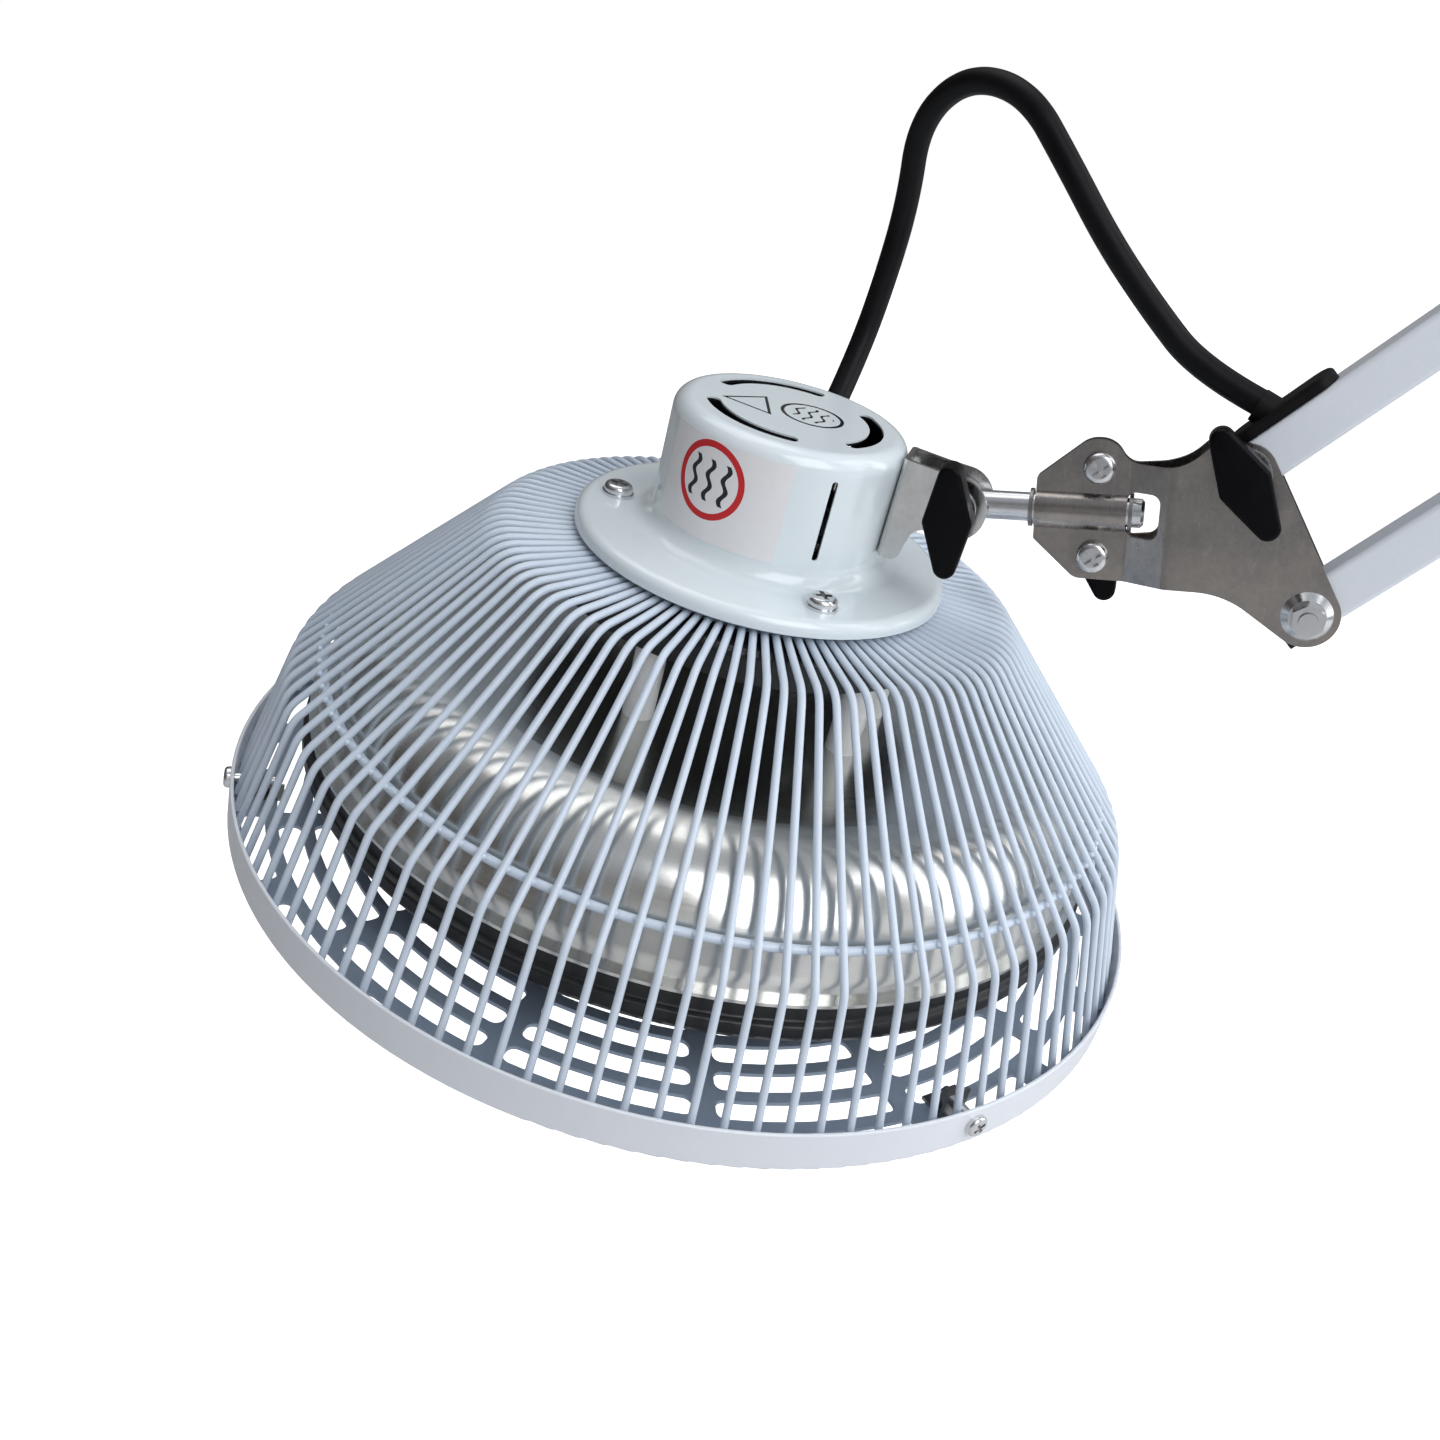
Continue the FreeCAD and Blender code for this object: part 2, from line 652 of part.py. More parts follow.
def heater_screws():
    """Long screws with nuts that pull the back plate down."""
    seat = polar(heater_screw_circle, cap_screw_angle, ring_low)
    top = back_plate_z + 1.0
    screw = pan_screw(seat, Vec(0, 0, -1), 3.8, 2.4, 2.0, top + 5 - ring_low)
    foot = polar(heater_screw_circle, cap_screw_angle, top)
    nut = hexagon(foot, foot + Z * 3.2, 7.0).cut(rod(foot - Z, foot + Z * 5, 2.05))
    return bars(screw, 3) + bars(nut, 3)


# ==== wiring in the head ====

block_low, block_height, block_half_width, block_half_depth = pan_top + 1.5, 14.0, 15.0, 8.0


def terminal_block():
    """A ceramic block on two feet where cord and heater leads meet."""
    body = box_between((-block_half_depth, -block_half_width, block_low),
                       (block_half_depth, block_half_width, block_low + block_height))
    body = body.makeFillet(1.5, [e for e in body.Edges if e.BoundBox.ZLength > 10])
    feet = [rod(Vec(0, s * 9, pan_top), Vec(0, s * 9, block_low), 3.0) for s in (-1, 1)]
    wells = [rod(Vec(0, s * 8, block_low + block_height - 4), Vec(0, s * 8, block_low + block_height + 1), 2.6)
             for s in (-1, 0, 1)]
    return turned(body.fuse(feet).cut(Part.makeCompound(wells)), Z, lead_angle)


def internal_wiring():
    """Two heater leads and the cord's three cores, up to the terminal block."""
    lead_z = block_low + block_height * 0.6
    leads = []
    for s in (-1, 1):
        y = s * lead_half_gap
        path = [Vec(lead_circle, y, coil_z + coil_radius + 0.1), Vec(lead_circle, y, pan_low - 3),
                Vec(lead_pass, y, pan_low + 4), Vec(lead_pass, y, lead_z), Vec(block_half_depth, y, lead_z)]
        leads.append(turned(swept(path, [0, 4.0, 4.0, 4.0, 0], lead_radius), Z, lead_angle))
    foot, direction = gland_axis()
    inner_end = foot - direction * 12
    cores = []
    for s in (-1, 0, 1):
        end = turned(Part.Vertex(Vec(-block_half_depth, s * 8, lead_z)), Z, lead_angle).Point
        out = polar(1, lead_angle + 180)
        start = inner_end + polar(s * 2.6, gland_angle + 90)
        elbow = end + out * 9
        cores.append(swept([start, elbow, end], [0, 4.0, 0], 1.0))
    return leads + cores


# ==== knobs, bolts and washers ====

def wing_knob(base, direction, lengthwise):
    """A black diamond knob with a hub; the hub starts at the base and faces along the direction."""
    out = Vec(direction).normalize()
    length = Vec(lengthwise).normalize()
    width = out.cross(length)
    back = base + out * knob_hub
    corners = [back + length * knob_half_length, back + width * knob_half_width,
               back - length * knob_half_length, back - width * knob_half_width]
    radii = [knob_tip_round, knob_side_round] * 2
    wing = rounded_face(corners, radii).extrude(out * knob_thickness)
    face_edges = [e for e in wing.Edges
                  if abs((e.CenterOfMass - back).dot(out) - knob_thickness) < 1e-6]
    wing = wing.makeFillet(knob_edge, face_edges)
    hub = rod(base, back + out, knob_hub_radius)
    bore = rod(base - out, back + out * (knob_thickness - 2.5), bolt_radius + 0.05)
    return wing.fuse(hub).cut(bore).removeSplitter()


def knob_bolt(head_seat, knob_base, flats=8.0):
    """A hexagon bolt from its head's seat, ending inside a knob."""
    out = (knob_base - head_seat).normalize()
    head = hexagon(head_seat - out * 3.2, head_seat, flats)
    end = knob_base + out * (knob_hub + knob_thickness - 4.0)
    return head.fuse(rod(head_seat, end, bolt_radius)).removeSplitter()


def nut_bolt(head_seat, nut_seat, flats=8.0):
    """A hexagon bolt and its nut, as two solids."""
    out = (nut_seat - head_seat).normalize()
    head = hexagon(head_seat - out * 3.2, head_seat, flats)
    bolt = head.fuse(rod(head_seat, nut_seat + out * 5.0, bolt_radius)).removeSplitter()
    nut = hexagon(nut_seat, nut_seat + out * 4.0, flats).cut(
        rod(nut_seat - out, nut_seat + out * 6, bolt_radius + 0.05))
    return bolt, nut


def cup_washer(seat, direction, radius, height):
    """A dished washer with a bolt hole."""
    out = Vec(direction).normalize()
    cup = Part.makeCone(radius, radius * 0.72, height, seat, out)
    return cup.cut(rod(seat - out, seat + out * (height + 1), bolt_radius + hole_play))


def flat_washer(seat, direction, radius, thickness):
    """A flat washer with a bolt hole."""
    out = Vec(direction).normalize()
    return tube(seat, seat + out * thickness, radius, bolt_radius + hole_play)


def pivot_sleeve(point):
    """The steel sleeve that an arm turns on."""
    half = sheet_inside - 0.01
    return tube(point - Y * half, point + Y * half, sleeve_radius, bolt_radius + hole_play)


# ==== tilt bracket ====

tilt_point = Vec(pivot_reach, 0, pivot_z)
ear_outside = bracket_width / 2
ear_inside = ear_outside - bracket_sheet


def tilt_bracket():
    """A folded U bracket on the cap with two ears for the tilt bolt."""
    back = cap_radius + 0.01
    face = back + bracket_sheet
    base = box_between((back, -ear_outside, bracket_low), (face, ear_outside, bracket_high))
    points = [Vec(back, 0, bracket_low), Vec(face + 4.5, 0, bracket_low),
              Vec(face + 6.5, 0, pivot_z - ear_radius + 1.0), Vec(pivot_reach, 0, pivot_z - ear_radius),
              Vec(pivot_reach + ear_radius, 0, pivot_z - ear_radius),
              Vec(pivot_reach + ear_radius, 0, pivot_z + ear_radius),
              Vec(pivot_reach - 6, 0, pivot_z + ear_radius), Vec(back, 0, bracket_high)]
    radii = [0, 3.0, 5.0, 0, ear_radius * 0.98, ear_radius * 0.98, 6.0, 0]
    ear = rounded_face(points, radii)
    ears = [moved(ear, Y * y).extrude(Y * bracket_sheet) for y in (-ear_outside, ear_inside)]
    bracket = base.fuse(ears).removeSplitter()
    holes = [rod(tilt_point - Y * 12, tilt_point + Y * 12, bolt_radius + hole_play)]
    holes += [rod(Vec(back - 2, 0, z), Vec(face + 2, 0, z), 2.0) for z in rivet_heights]
    folds = [e for e in bracket.Edges if e.BoundBox.ZLength > bracket_high - bracket_low - 0.1
             and e.BoundBox.YLength < 0.01 and abs(e.BoundBox.XMin - back) < 0.01]
    return bracket.makeFillet(bracket_sheet * 0.9, folds).cut(Part.makeCompound(holes))


def tilt_rivets():
    """Rivets that hold the bracket to the cap's wall."""
    rivets = []
    for z in rivet_heights:
        inner = cap_radius - cap_wall
        face = cap_radius + 0.01 + bracket_sheet
        shank = rod(Vec(inner - 0.5, 0, z), Vec(face, 0, z), 1.95)
        outer_head = rod(Vec(face, 0, z), Vec(face + 1.4, 0, z), 3.4)
        inner_head = rod(Vec(inner - 1.8, 0, z), Vec(inner - 0.3, 0, z), 3.4)
        rivets.append(shank.fuse([outer_head, inner_head]).removeSplitter())
    return rivets


def tilt_bolt():
    """The bolt and washers of the tilt joint; the knob turns on its front end."""
    seat = tilt_point + Y * (ear_outside + knob_washer)
    knob_base = tilt_point - Y * (ear_outside + knob_washer)
    washers = [flat_washer(tilt_point + Y * ear_outside, Y, 6.0, knob_washer),
               flat_washer(tilt_point - Y * ear_outside, Y * -1, 6.0, knob_washer)]
    return [knob_bolt(seat, knob_base)] + washers, knob_base


# ==== stem and front bracket, measured from the tilt bolt ====

def stem():
    """The round stem with its cross eye."""
    half = ear_inside - eye_gap
    eye = rod(Y * -half, Y * half, eye_radius)
    bar = rod(X * (eye_radius * 0.5), X * stem_end, stem_radius)
    tip = [e for e in bar.Edges if abs(e.CenterOfMass.x - stem_end) < 1e-6 and len(e.Vertexes) == 1]
    bar = bar.makeChamfer(0.8, tip)
    return eye.fuse(bar).cut(rod(Y * -20, Y * 20, bolt_radius + 0.05)).removeSplitter()


def stem_rings():
    """Retaining rings on the stem, one each side of the clamp."""
    places = (clamp_start - 1.6, clamp_end + 0.6)
    return [tube(X * x, X * (x + 1.0), stem_radius + 1.3, stem_radius + 0.02) for x in places]


def side_corners(upper, lower, radius, side):
    """Where the plate's edge beside two pivots meets the level edges above and below them."""
    along = Vec(lower - upper).normalize()
    out = Vec(-along.z, 0, along.x) if side > 0 else Vec(along.z, 0, -along.x)
    start = upper + out * radius
    high = start + along * ((upper.z + radius - start.z) / along.z)
    low = start + along * ((lower.z - radius - start.z) / along.z)
    return high, low


def ramp_sheet(ramp, near_x, far_x):
    """The section of the front bracket plate seen from above, flat, stepped out, flat again."""
    half_gap, out = -clamp_half_gap, -sheet_inside
    points = [(near_x, half_gap), (ramp[0], half_gap), (ramp[1], out), (far_x, out)]
    side = -1 if near_x < far_x else 1
    face = sheet_face(points, [0, 3.0, 3.0, 0], side * sheet, lambda u, v: Vec(u, v, -60))
    return face.extrude(Z * 160)


def front_plate():
    """The stamped front plate: half a barrel round the stem, a window, and two arm pivots."""
    upper = Vec(upper_pivot_x, 0, upper_pivot_z)
    lower = upper + pivot_step
    high, low = side_corners(upper, lower, pivot_round, 1)
    lobe = clamp_screw_z + 7.65
    waist = upper_pivot_z + 0.5
    points = [Vec(clamp_start, 0, 9.0), Vec(clamp_screw_x - 3.35, 0, lobe), Vec(clamp_screw_x + 3.5, 0, lobe),
              Vec(clamp_screw_x + 7.7, 0, waist), Vec(upper.x - 15.3, 0, waist),
              Vec(upper.x - 7.3, 0, high.z), high, low, Vec(lower.x - 3, 0, low.z),
              Vec(lower.x - 21.8, 0, -clamp_screw_z - 6.7), Vec(clamp_start + 11.9, 0, -clamp_screw_z - 6.5),
              Vec(clamp_start, 0, -8.3)]
    radii = [1.0, 6.9, 6.9, 6.0, 14.0, 8.0, 8.2, pivot_round, 8.0, 24.0, 4.5, 1.0]
    blank = moved(rounded_face(points, radii), Y * -30).extrude(Y * 30)
    plate = blank.common(ramp_sheet(front_ramp, clamp_start - 5, low.x + 5))
    barrel_outer = stem_radius + stem_fit + sheet
    barrel = rod(X * clamp_start, X * clamp_end, barrel_outer).common(
        box_between((0, -20, -20), (100, -clamp_half_gap, 20)))
    plate = plate.fuse(barrel)
    corners = [Vec(clamp_end, -30, -window_half), Vec(window_end, -30, -window_half),
               Vec(window_end, -30, window_half), Vec(clamp_end, -30, window_half)]
    window = rounded_face(corners, [2.5] * 4).extrude(Y * 30)
    holes = [rod(X * (clamp_start - 5), X * (clamp_end + 1), stem_radius + stem_fit), window]
    for centre in (Vec(clamp_screw_x, 0, clamp_screw_z), Vec(clamp_screw_x, 0, -clamp_screw_z), upper, lower):
        holes.append(rod(centre - Y * 30, centre + Y * 5, bolt_radius + hole_play))
    return plate.cut(Part.makeCompound(holes)).removeSplitter()


def mirrored(shape):
    """The matching plate on the other side of the arms' plane."""
    return shape.mirror(ORIGIN, Y)


def clamp_screws():
    """Two pan-head screws through the front clamp; the lower one ends in a knob behind."""
    face = clamp_half_gap + sheet
    upper = pan_screw(Vec(clamp_screw_x, -face, clamp_screw_z), Y * -1, 4.4, 3.0, bolt_radius, 2 * face + 5)
    lower = pan_screw(Vec(clamp_screw_x, -face, -clamp_screw_z), Y * -1, 4.4, 3.0, bolt_radius,
                      2 * face + knob_washer + knob_hub + knob_thickness - 4.0)
    nut_seat = Vec(clamp_screw_x, face, clamp_screw_z)
    nut = hexagon(nut_seat, nut_seat + Y * 4.0, 8.0).cut(
        rod(nut_seat - Y, nut_seat + Y * 6, bolt_radius + 0.05))
    washer = flat_washer(Vec(clamp_screw_x, face, -clamp_screw_z), Y, 5.5, knob_washer)
    return [upper, lower], [nut, washer]


# ==== arms, in the arm's frame: x along the arm from the front pivot, z across it ====

def square_bar(side, corner, start, end):
    """A square bar along X with rounded edges."""
    half = side / 2
    corners = [Vec(start, -half, -half), Vec(start, half, -half), Vec(start, half, half), Vec(start, -half, half)]
    return rounded_face(corners, [corner] * 4).extrude(X * (end - start))


def arm_tube(with_slots):
    """A square tube with a sleeve hole at each end and, on the upper arm, two cable slots."""
    start, end = -tube_overhang, arm_length + tube_overhang
    outer = square_bar(tube_side, tube_round, start, end)
    inner = square_bar(tube_side - 2 * tube_wall, 0.6, start - 1, end + 1)
    cuts = [inner] + [rod(Vec(x, -20, 0), Vec(x, 20, 0), sleeve_radius + 0.35) for x in (0, arm_length)]
    if with_slots:
        for middle in grommet_middles():
            cuts.append(grommet_slot(middle, 0.0))
    return outer.cut(Part.makeCompound(cuts))


def arm_plugs():
    """Plastic end plugs that fill the tube's ends and turn on the sleeves."""
    inside = tube_side - 2 * tube_wall - 2 * plug_play
    front = square_bar(inside, 0.5, -tube_overhang, plug_length - tube_overhang)
    cap = square_bar(tube_side, tube_round, -tube_overhang - plug_cap, -tube_overhang)
    plug = front.fuse(cap).cut(rod(Y * -20, Y * 20, sleeve_radius + sleeve_fit)).removeSplitter()
    rear = moved(turned(plug, Z, 180), X * arm_length)
    return [plug, rear]


def grommet_middles():
    """Where the two cable grommets sit along the arm."""
    front = grommet_start + grommet_length / 2
    return front, arm_length - front


def grommet_slot(middle, play):
    """The slot in the tube's top wall, or the grommet's waist in it."""
    half_l, half_w = grommet_slot_length / 2 - play, grommet_slot_width / 2 - play
    low, high = tube_side / 2 - tube_wall - 0.8, tube_side / 2 + 0.5
    corners = [Vec(middle + a * half_l, b * half_w, low) for a, b in ((-1, -1), (1, -1), (1, 1), (-1, 1))]
    return rounded_face(corners, [half_w * 0.98] * 4).extrude(Z * (high - low))


def cable_grommet(middle, cord_direction=None):
    """An oblong rubber grommet; with a cord, it has a short collar that the cord goes into."""
    base = tube_side / 2 + 0.02
    half_l, half_w = grommet_length / 2, grommet_width / 2
    corners = [Vec(middle + a * half_l, b * half_w, base) for a, b in ((-1, -1), (1, -1), (1, 1), (-1, 1))]
    pad = rounded_face(corners, [half_w * 0.9] * 4).extrude(Z * grommet_height)
    top_edges = [e for e in pad.Edges if abs(e.CenterOfMass.z - base - grommet_height) < 1e-6]
    pad = pad.makeFillet(1.2, top_edges)
    waist = grommet_slot(middle, 0.1)
    grommet = pad.fuse(waist)
    if cord_direction is not None:
        entry = Vec(cord_entry, 0, base + grommet_height)
        collar = rod(entry - cord_direction * 2.0, entry + cord_direction * 3.0, cord_radius + 0.9)
        grommet = grommet.fuse(collar.cut(box_between((-50, -20, -20), (60, 20, base + 0.01))))
    return grommet.removeSplitter()


def arm_leads():
    """Three insulated cores inside the upper tube, from grommet to grommet."""
    front, rear = grommet_middles()
    high = tube_side / 2 - tube_wall - 1.6
    run = -1.5
    leads = []
    for y in (-2.5, 0.0, 2.5):
        path = [Vec(front, y, high), Vec(front + 9, y, run), Vec(rear - 9, y, run), Vec(rear, y, high)]
        leads.append(swept(path, [0, 10.0, 10.0, 0], 1.05))
    return leads


# ==== rear bracket and spigot, in the row frame ====

rear_screw_x = spigot_radius + rear_screw_gap


def rear_plate():
    """The stamped rear plate: half a barrel round the spigot and two arm pivots."""
    high, low = side_corners(rear_upper, rear_lower, pivot_round, -1)
    barrel_outer = spigot_radius + spigot_fit + sheet
    bottom = barrel_mid - barrel_length / 2
    top = bottom + barrel_length
    edge = barrel_outer + 1.5
    lobe = rear_screw_x + 8.0
    points = [high, Vec(rear_upper.x + 9, 0, high.z), Vec(rear_ramp[0] + 2, 0, top), Vec(edge, 0, top),
              Vec(lobe, 0, barrel_mid + 6.5), Vec(lobe, 0, barrel_mid - 6.5), Vec(edge, 0, bottom),
              Vec(rear_ramp[0] + 8, 0, bottom), Vec(rear_lower.x + 7.5, 0, low.z), low]
    radii = [pivot_round, 9.0, 14.0, 1.0, 6.0, 6.0, 1.0, 12.0, 8.0, pivot_round]
    blank = moved(rounded_face(points, radii), Y * -30).extrude(Y * 30)
    ramp = (rear_ramp[1], rear_ramp[0])
    plate = blank.common(ramp_sheet(ramp, lobe + 5, high.x - 5))
    barrel = rod(Z * bottom, Z * top, barrel_outer).common(
        box_between((-30, -20, bottom), (30, -clamp_half_gap, top)))
    holes = [rod(Z * (bottom - 5), Z * (top + 5), spigot_radius + spigot_fit)]
    for centre in (Vec(rear_screw_x, 0, barrel_mid), Vec(-rear_screw_x, 0, barrel_mid), rear_upper, rear_lower):
        holes.append(rod(centre - Y * 30, centre + Y * 5, bolt_radius + hole_play))
    return plate.fuse(barrel).cut(Part.makeCompound(holes)).removeSplitter()


def spigot():
    """The steel spigot: a plain pin below its collar, a journal above it and a threaded end."""
    top = spigot_top
    return turned_solid([(0, -spigot_reach), (spigot_radius, -spigot_reach), (spigot_radius, 0),
                         (collar_radius, 0), (collar_radius, collar_height), (spigot_radius, collar_height),
                         (spigot_radius, top), (4.0, top), (4.0, top + 9), (0, top + 9)],
                        [0, 0.8, 0, 0.6, 0.6, 0, 0, 0, 0.6, 0])


def spigot_nut():
    """A domed cap nut on the spigot."""
    nut = hexagon(Z * spigot_top, Z * (spigot_top + 6), 13.0)
    dome = Part.makeSphere(6.0, Z * (spigot_top + 6), Z, 0, 90, 360)
    return nut.fuse(dome).cut(rod(Z * (spigot_top - 1), Z * (spigot_top + 9.5), 4.05)).removeSplitter()


# ==== cord ====

def cord_points():
    """The cord's route from gland to grommet, in the row frame, and its last direction."""
    foot, direction = gland_axis()
    start = head_place.multVec(foot + direction * gland_length)
    base = tube_side / 2 + 0.02 + grommet_height
    entry = upper_arm_place.multVec(Vec(cord_entry, 0, base))
    lead = head_place.Rotation.multVec(direction) * cord_lead
    points = [start, start + lead] + [tilt_pivot + Vec(*p) for p in cord_route]
    arrive = (entry - points[-1]).normalize()
    points.append(entry - arrive * 3.0)
    return points, arrive


def cord_radii(points):
    """As large an arc at each corner as its two runs allow."""
    radii = [0.0]
    for before, point, after in zip(points, points[1:], points[2:]):
        turn = (point - before).getAngle(after - point)
        shorter = min((point - before).Length, (after - point).Length)
        radii.append(0.45 * shorter / math.tan(turn / 2))
    return radii + [0.0]


def cord_stretches():
    """The cord as three solids that meet face to face."""
    points, _ = cord_points()
    radii = cord_radii(points)
    ends = [0] + [b for b in cord_breaks] + [len(points) - 1]
    stretches = []
    for first, last in zip(ends, ends[1:]):
        middle = points[last] if last == len(points) - 1 else (points[last] + points[last + 1]) / 2
        begin = points[0] if first == 0 else (points[first] + points[first + 1]) / 2
        inner = range(first + 1, last + 1 if last < len(points) - 1 else last)
        path = [begin] + [points[i] for i in inner] + [middle]
        bends = [0.0] + [radii[i] for i in inner] + [0.0]
        solid = swept(path, bends, cord_radius)
        length = sum(e.Length for e in rounded_edges(path, bends))
        stretches.append((solid, length))
    return stretches, radii


# ==== build ====

def build():
    """Makes every node."""
    os.makedirs("parts", exist_ok=True)
    keep("guard_hub", guard_hub(), head_place)
    keep("guard_wires", guard_wires(), head_place)
    keep("guard_ring", guard_ring(), head_place)
    keep("guard_band", guard_band(), head_place)
    keep("grille_plate", grille_plate(), head_place)
    keep("rim_screws", rim_screws(), head_place)
    keep("rim_clips", rim_clips(), head_place)
    keep("cap_housing", cap_housing(), head_place)
    keep("cap_screws", cap_screws(), head_place)
    keep("cord_gland", cord_gland(), head_place)
    keep("base_pan", base_pan(), head_place)
    keep("weld_nuts", weld_nuts(), head_place)
    keep("ceramic_posts", ceramic_posts(), head_place)
    keep("post_screws", post_screws(), head_place)
    keep("reflector", reflector(), head_place)
    keep("lead_bushings", lead_bushings(), head_place)
    keep("thermal_cutout", thermal_cutout(), head_place)
    keep("emitter_ring", emitter_ring(), head_place)
    keep("mineral_plate", mineral_plate(), head_place)
    keep("heater_former", heater_former(), head_place)
    keep("heating_coil", heating_coil(), head_place)
    keep("insulation_disc", insulation_disc(), head_place)
    keep("heater_back_plate", heater_back_plate(), head_place)
    keep("heater_screws", heater_screws(), head_place)
    keep("terminal_block", terminal_block(), head_place)
    keep("internal_wiring", internal_wiring(), head_place)
    keep("tilt_bracket", tilt_bracket(), head_place)
    keep("tilt_rivets", tilt_rivets(), head_place)
    bolt, knob_base = tilt_bolt()
    keep("tilt_bolt", bolt, head_place)
    keep("tilt_knob", wing_knob(knob_base, Y * -1, Vec(-0.24, 0, 0.97)), head_place)

    keep("stem", stem(), stem_place)
    keep("stem_rings", stem_rings(), stem_place)

    front = front_plate()
    keep("front_clamp_plate", front, front_place)
    keep("back_clamp_plate", mirrored(front), front_place)
    screws, nuts = clamp_screws()
    keep("clamp_screws", screws, front_place)
    keep("clamp_nuts", nuts, front_place)
    behind = Vec(clamp_screw_x, clamp_half_gap + sheet + knob_washer, -clamp_screw_z)
    keep("stem_clamp_knob", wing_knob(behind, Y, Vec(0.28, 0, -1)), front_place)

    outside = Y * sheet_outside
    upper, lower = front_upper, front_lower
    lock_base = upper - outside - Y * cup_height
    keep("arm_lock_bolt", [knob_bolt(upper + outside, lock_base),
                           flat_washer(upper - outside, Y * -1, 7.0, cup_height)])
    keep("arm_lock_knob", wing_knob(lock_base, Y * -1, Vec(0.53, 0, -0.85)))
    bolt, nut = nut_bolt(lower + outside, lower - outside - Y * cup_height)
    keep("front_pivot_bolt", [bolt, nut, cup_washer(lower - outside, Y * -1, 6.7, cup_height)])
    keep("front_pivot_sleeves", [pivot_sleeve(upper), pivot_sleeve(lower)])

    keep("upper_arm_tube", arm_tube(True), upper_arm_place)
    keep("upper_arm_plugs", arm_plugs(), upper_arm_place)
    _, arrive = cord_points()
    inbound = upper_arm_place.Rotation.inverted().multVec(arrive * -1)
    keep("cable_grommet", cable_grommet(grommet_middles()[0], inbound), upper_arm_place)
    keep("rear_grommet", cable_grommet(grommet_middles()[1]), upper_arm_place)
    keep("arm_leads", arm_leads(), upper_arm_place)
    keep("lower_arm_tube", arm_tube(False), lower_arm_place)
    keep("lower_arm_plugs", arm_plugs(), lower_arm_place)

    rear = rear_plate()
    keep("rear_front_plate", rear)
    keep("rear_back_plate", mirrored(rear))
    bolts, nuts = [], []
    for pivot in (rear_upper, rear_lower):
        bolt, nut = nut_bolt(pivot + outside, pivot - outside - Y * cup_height)
        bolts.append(bolt)
        nuts += [nut, cup_washer(pivot - outside, Y * -1, 6.7, cup_height)]
    face = clamp_half_gap + sheet
    bolt, nut = nut_bolt(Vec(-rear_screw_x, face, barrel_mid), Vec(-rear_screw_x, -face, barrel_mid))
    swivel_base = Vec(rear_screw_x, -face - knob_washer, barrel_mid)
    swivel_bolt = knob_bolt(Vec(rear_screw_x, face, barrel_mid), swivel_base)
    bolts += [bolt, swivel_bolt]
    nuts += [nut, flat_washer(Vec(rear_screw_x, -face, barrel_mid), Y * -1, 5.5, knob_washer)]
    keep("rear_bolts", bolts)
    keep("rear_nuts", nuts)
    keep("rear_pivot_sleeves", [pivot_sleeve(rear_upper), pivot_sleeve(rear_lower)])
    keep("swivel_lock_knob", wing_knob(swivel_base, Y * -1, Vec(0.5, 0, 1)))

    keep("spigot", spigot())
    washers = [tube(Z * z, Z * (z + swivel_washer - 0.02), collar_radius - 1, spigot_radius + 0.1)
               for z in (collar_height + 0.01, spigot_top - swivel_washer + 0.01)]
    keep("swivel_washers", washers)
    keep("spigot_nut", spigot_nut())

    stretches, radii = cord_stretches()
    for name, (solid, length) in zip(("cord_head_end", "cord_middle", "cord_arm_end"), stretches):
        keep(name, solid)
        section = math.pi * cord_radius ** 2
        print("%s: %.1f mm long, volume %.0f mm3, section x length %.0f mm3"
              % (name, length, solid.Volume, section * length))
    print("cord bend radii: " + ", ".join("%.0f" % r for r in radii[1:-1]))
    print("%d nodes, %d solids" % (len(nodes), sum(len(s.Solids) for s in nodes.values())))


build()
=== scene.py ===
import json
import logging
import math
from dataclasses import dataclass, field
from enum import Enum
from typing import Dict, List, Optional, Sequence, Tuple

import bpy
from mathutils import Matrix, Vector


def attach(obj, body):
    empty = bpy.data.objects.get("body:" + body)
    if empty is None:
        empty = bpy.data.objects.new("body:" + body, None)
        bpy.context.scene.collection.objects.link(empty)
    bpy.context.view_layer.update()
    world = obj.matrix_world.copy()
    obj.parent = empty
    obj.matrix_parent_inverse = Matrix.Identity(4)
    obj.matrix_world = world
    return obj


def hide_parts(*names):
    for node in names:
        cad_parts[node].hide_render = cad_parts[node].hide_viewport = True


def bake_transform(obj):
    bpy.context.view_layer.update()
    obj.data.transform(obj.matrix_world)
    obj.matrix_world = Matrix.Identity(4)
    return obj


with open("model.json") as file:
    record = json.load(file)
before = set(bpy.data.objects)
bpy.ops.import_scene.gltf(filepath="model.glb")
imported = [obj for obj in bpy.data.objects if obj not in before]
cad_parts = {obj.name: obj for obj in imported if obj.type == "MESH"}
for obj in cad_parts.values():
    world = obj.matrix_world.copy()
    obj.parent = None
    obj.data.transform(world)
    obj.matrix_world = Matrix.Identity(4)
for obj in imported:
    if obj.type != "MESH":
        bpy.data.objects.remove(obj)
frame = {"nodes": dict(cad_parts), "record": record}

LOG = logging.getLogger("heat_lamp")
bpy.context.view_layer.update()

Colour = Tuple[float, float, float]
Point = Tuple[float, float, float]
MM = 0.001

# ---- where things are, in millimetres in the row frame ----
TILT_PIVOT = Vector((-441.397, 0.0, -221.209))
PIVOT_IN_HEAD = Vector((51.9, 0.0, 138.0))
HEAD_ROLL = math.radians(5.4)
HEAD_TILT = math.radians(15.1)
UPPER_PIVOT = TILT_PIVOT + Vector((75.3, 0.0, 13.2))


def metres(place: Matrix) -> Matrix:
    """Turns a placement in millimetres into one in metres.

    Args:
        place: A rigid placement whose translation is in millimetres.

    Returns:
        The same placement with its translation in metres.
    """
    out = place.copy()
    out.translation = place.translation * MM
    return out


